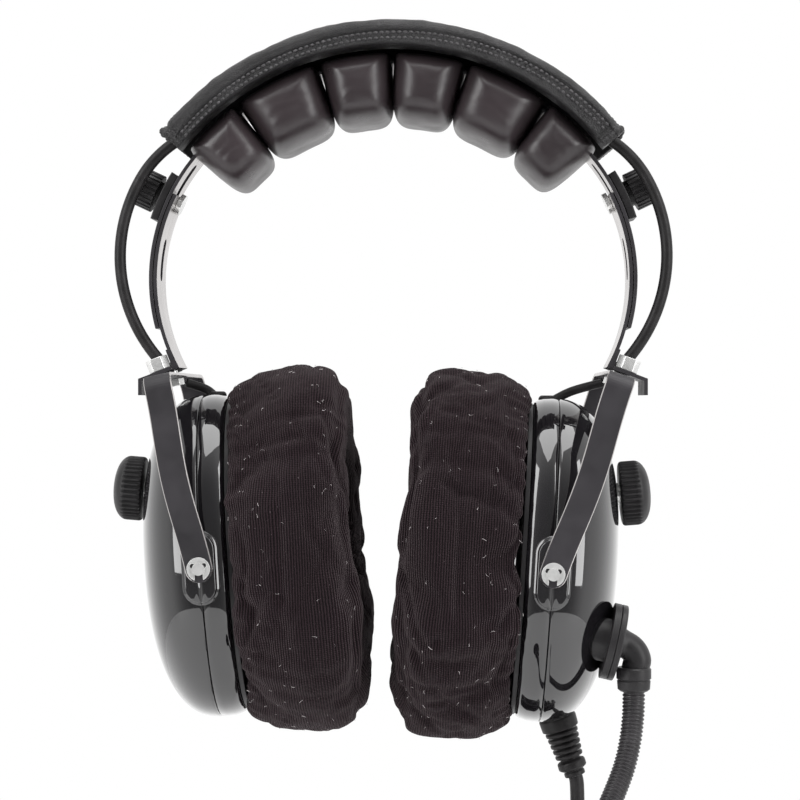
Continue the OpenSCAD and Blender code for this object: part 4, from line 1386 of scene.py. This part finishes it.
def boom_elbow():
    """Flange, and a smooth elbow that runs down into the collar."""
    place = Matrix.Translation(BOOM_AT) @ Matrix.Rotation(math.radians(BOOM_TILT), 4, "Y")
    bend, r, run = 6.2, 4.4, 2.9
    line = [place @ Vector((x, 0, 0)) for x in (1.0, 2.0)]
    line += [place @ Vector((run + bend * math.cos(math.radians(a)), 0, bend * math.sin(math.radians(a)) - bend))
             for a in range(90, 15, -12)]
    line += [Vector((78.9, BOOM_AT[1], -28.0)), Vector((78.4, BOOM_AT[1], -30.2))]
    points, faces = sweep(through(line, 6), 0.35, lambda at: r + 0.75 * math.exp(-(at / 2.4) ** 4), 40)
    turned = place @ Matrix.Rotation(math.radians(90), 4, "Y")
    outline = rounded([(0.01, 0.08), (12.3, 0.08), (12.3, 2.1), (0.01, 2.1)], 0.45)
    add_solid(points, faces, [[turned @ Vector((q[0] * math.cos(a), q[0] * math.sin(a), q[1]))
                               for a in circle(96)] for q in outline])
    piece = make_piece("elbow", points, faces, MATERIALS["black_plastic"])
    settle(piece, body_of("boom_elbow"), "black_plastic", "boom_elbow")


boom_elbow()
gooseneck()
mic_screen()


# ---- leads from the shelves into the cups ----

CUP_LEAD_D = 3.0


def cup_lead(side):
    """Short lead under the swivel that goes into a grommet in the cup's top, just behind the yoke's crown."""
    swivel = joint_place("yoke_swivel_" + side)
    way = -1 if side == "l" else 1
    cup_top = cup_frame(side) @ Vector((-3.6, 5.6, CUP_UP + CUP_B * 0.985))
    start = Vector((swivel.x - way * 3.2, 5.6, swivel.z - 2.2))
    middle = start.lerp(cup_top, 0.5) + Vector((-way * 1.4, 1.2, 0))
    points, faces = sweep(through([start, middle, cup_top + Vector((0, 0, -1.2))], 10), 0.4,
                          lambda at: CUP_LEAD_D / 2, 20)
    lead = make_piece("cup_lead_" + side, points, faces, MATERIALS["cable_rubber"])
    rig.blend(lead, "yoke_" + side, "cup_" + side, start * MM, cup_top * MM)
    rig.slot(lead, "cable_rubber")
    collar = lathe("cup_grommet_" + side,
                   rounded([(0.01, -1), (2.9, -1), (2.9, 0.9), (2.2, 1.7), (0.01, 1.7)], 0.5),
                   MATERIALS["cable_rubber"], Matrix.Translation(cup_top), 32)
    settle(collar, "cup_" + side, "cable_rubber")


for s in SIDES:
    cup_lead(s)


# ---- CAD pieces that stay ----

# Finish and edge rounding, in millimetres, by the start of the node's name
KEPT = {
    "headband_spring": ("spring_steel", 0.22), "arm": ("spring_steel", 0.22),
    "lock_block": ("black_plastic", 0.45),
    "lock_screw": ("bright_metal", 0.15), "lock_knob": ("black_plastic", 0.3),
    "cable_gland": ("bright_metal", 0.3),
    "cross_cable": ("cable_rubber", 0.1), "yoke_screw": ("bright_metal", 0.25), "baffle": ("black_plastic", 0.25),
    "speaker": ("black_plastic", 0.25), "pivot_pins": ("bright_metal", 0.2), "e_clips": ("bright_metal", 0.12),
    "volume_pot": ("bright_metal", 0.2), "boom_base": ("black_plastic", 0.4),
    "boom_collar": ("black_plastic", 0.3), "mic_housing": ("black_plastic", 0.5)}


SHELF_RISE = 9.0


def paint_edge_shade(obj):
    """Painted shade on the steel strips: only the faces that look in at the head keep the pale steel. Edges, shelves
    and the faces that look away take the dark steel, which stands for the shade on them.
    """
    shelf_z = min(v.co.z for v in obj.data.vertices) + SHELF_RISE * MM
    obj.data.materials.append(MATERIALS["dark_steel"])
    for face in obj.data.polygons:
        middle = face.center
        inwards = Vector((-middle.x, 0, CROWN_Z * MM - middle.z)).normalized()
        pale = face.normal.dot(inwards) > 0.35 and (middle.z > shelf_z or obj.name == "headband_spring")
        face.material_index = 0 if pale else 1


def finish_node(name, obj):
    """Gives a CAD node its material and rounds its edges. Its mesh stays as it is."""
    found = [KEPT[start] for start in KEPT if name.startswith(start)]
    if not found:
        return
    material, edge = found[0]
    obj.data.materials.clear()
    obj.data.materials.append(MATERIALS[material])
    # Painted shade on the edges, shelves and outward faces of the steel strips
    if name.startswith(("arm", "headband_spring")):
        paint_edge_shade(obj)
    if "custom_normal" in obj.data.attributes:
        obj.data.attributes.remove(obj.data.attributes["custom_normal"])
    obj.data.polygons.foreach_set("use_smooth", [True] * len(obj.data.polygons))
    modifier(obj, "join", "WELD", merge_threshold=0.002 * MM)
    modifier(obj, "edges", "BEVEL", width=edge * MM, segments=3, limit_method="ANGLE",
             angle_limit=math.radians(32), use_clamp_overlap=True, harden_normals=False)
    modifier(obj, "shading", "WEIGHTED_NORMAL", keep_sharp=False, weight=80)


for node_name, node in frame["nodes"].items():
    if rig.alive(node):
        finish_node(node_name, node)


# ---- size, written for the record ----

low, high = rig.bounds()
with open(SIZE_FILE, "w") as out:
    json.dump({"cad": [list(cad_box[0]), list(cad_box[1])], "looks": [list(low), list(high)]}, out)
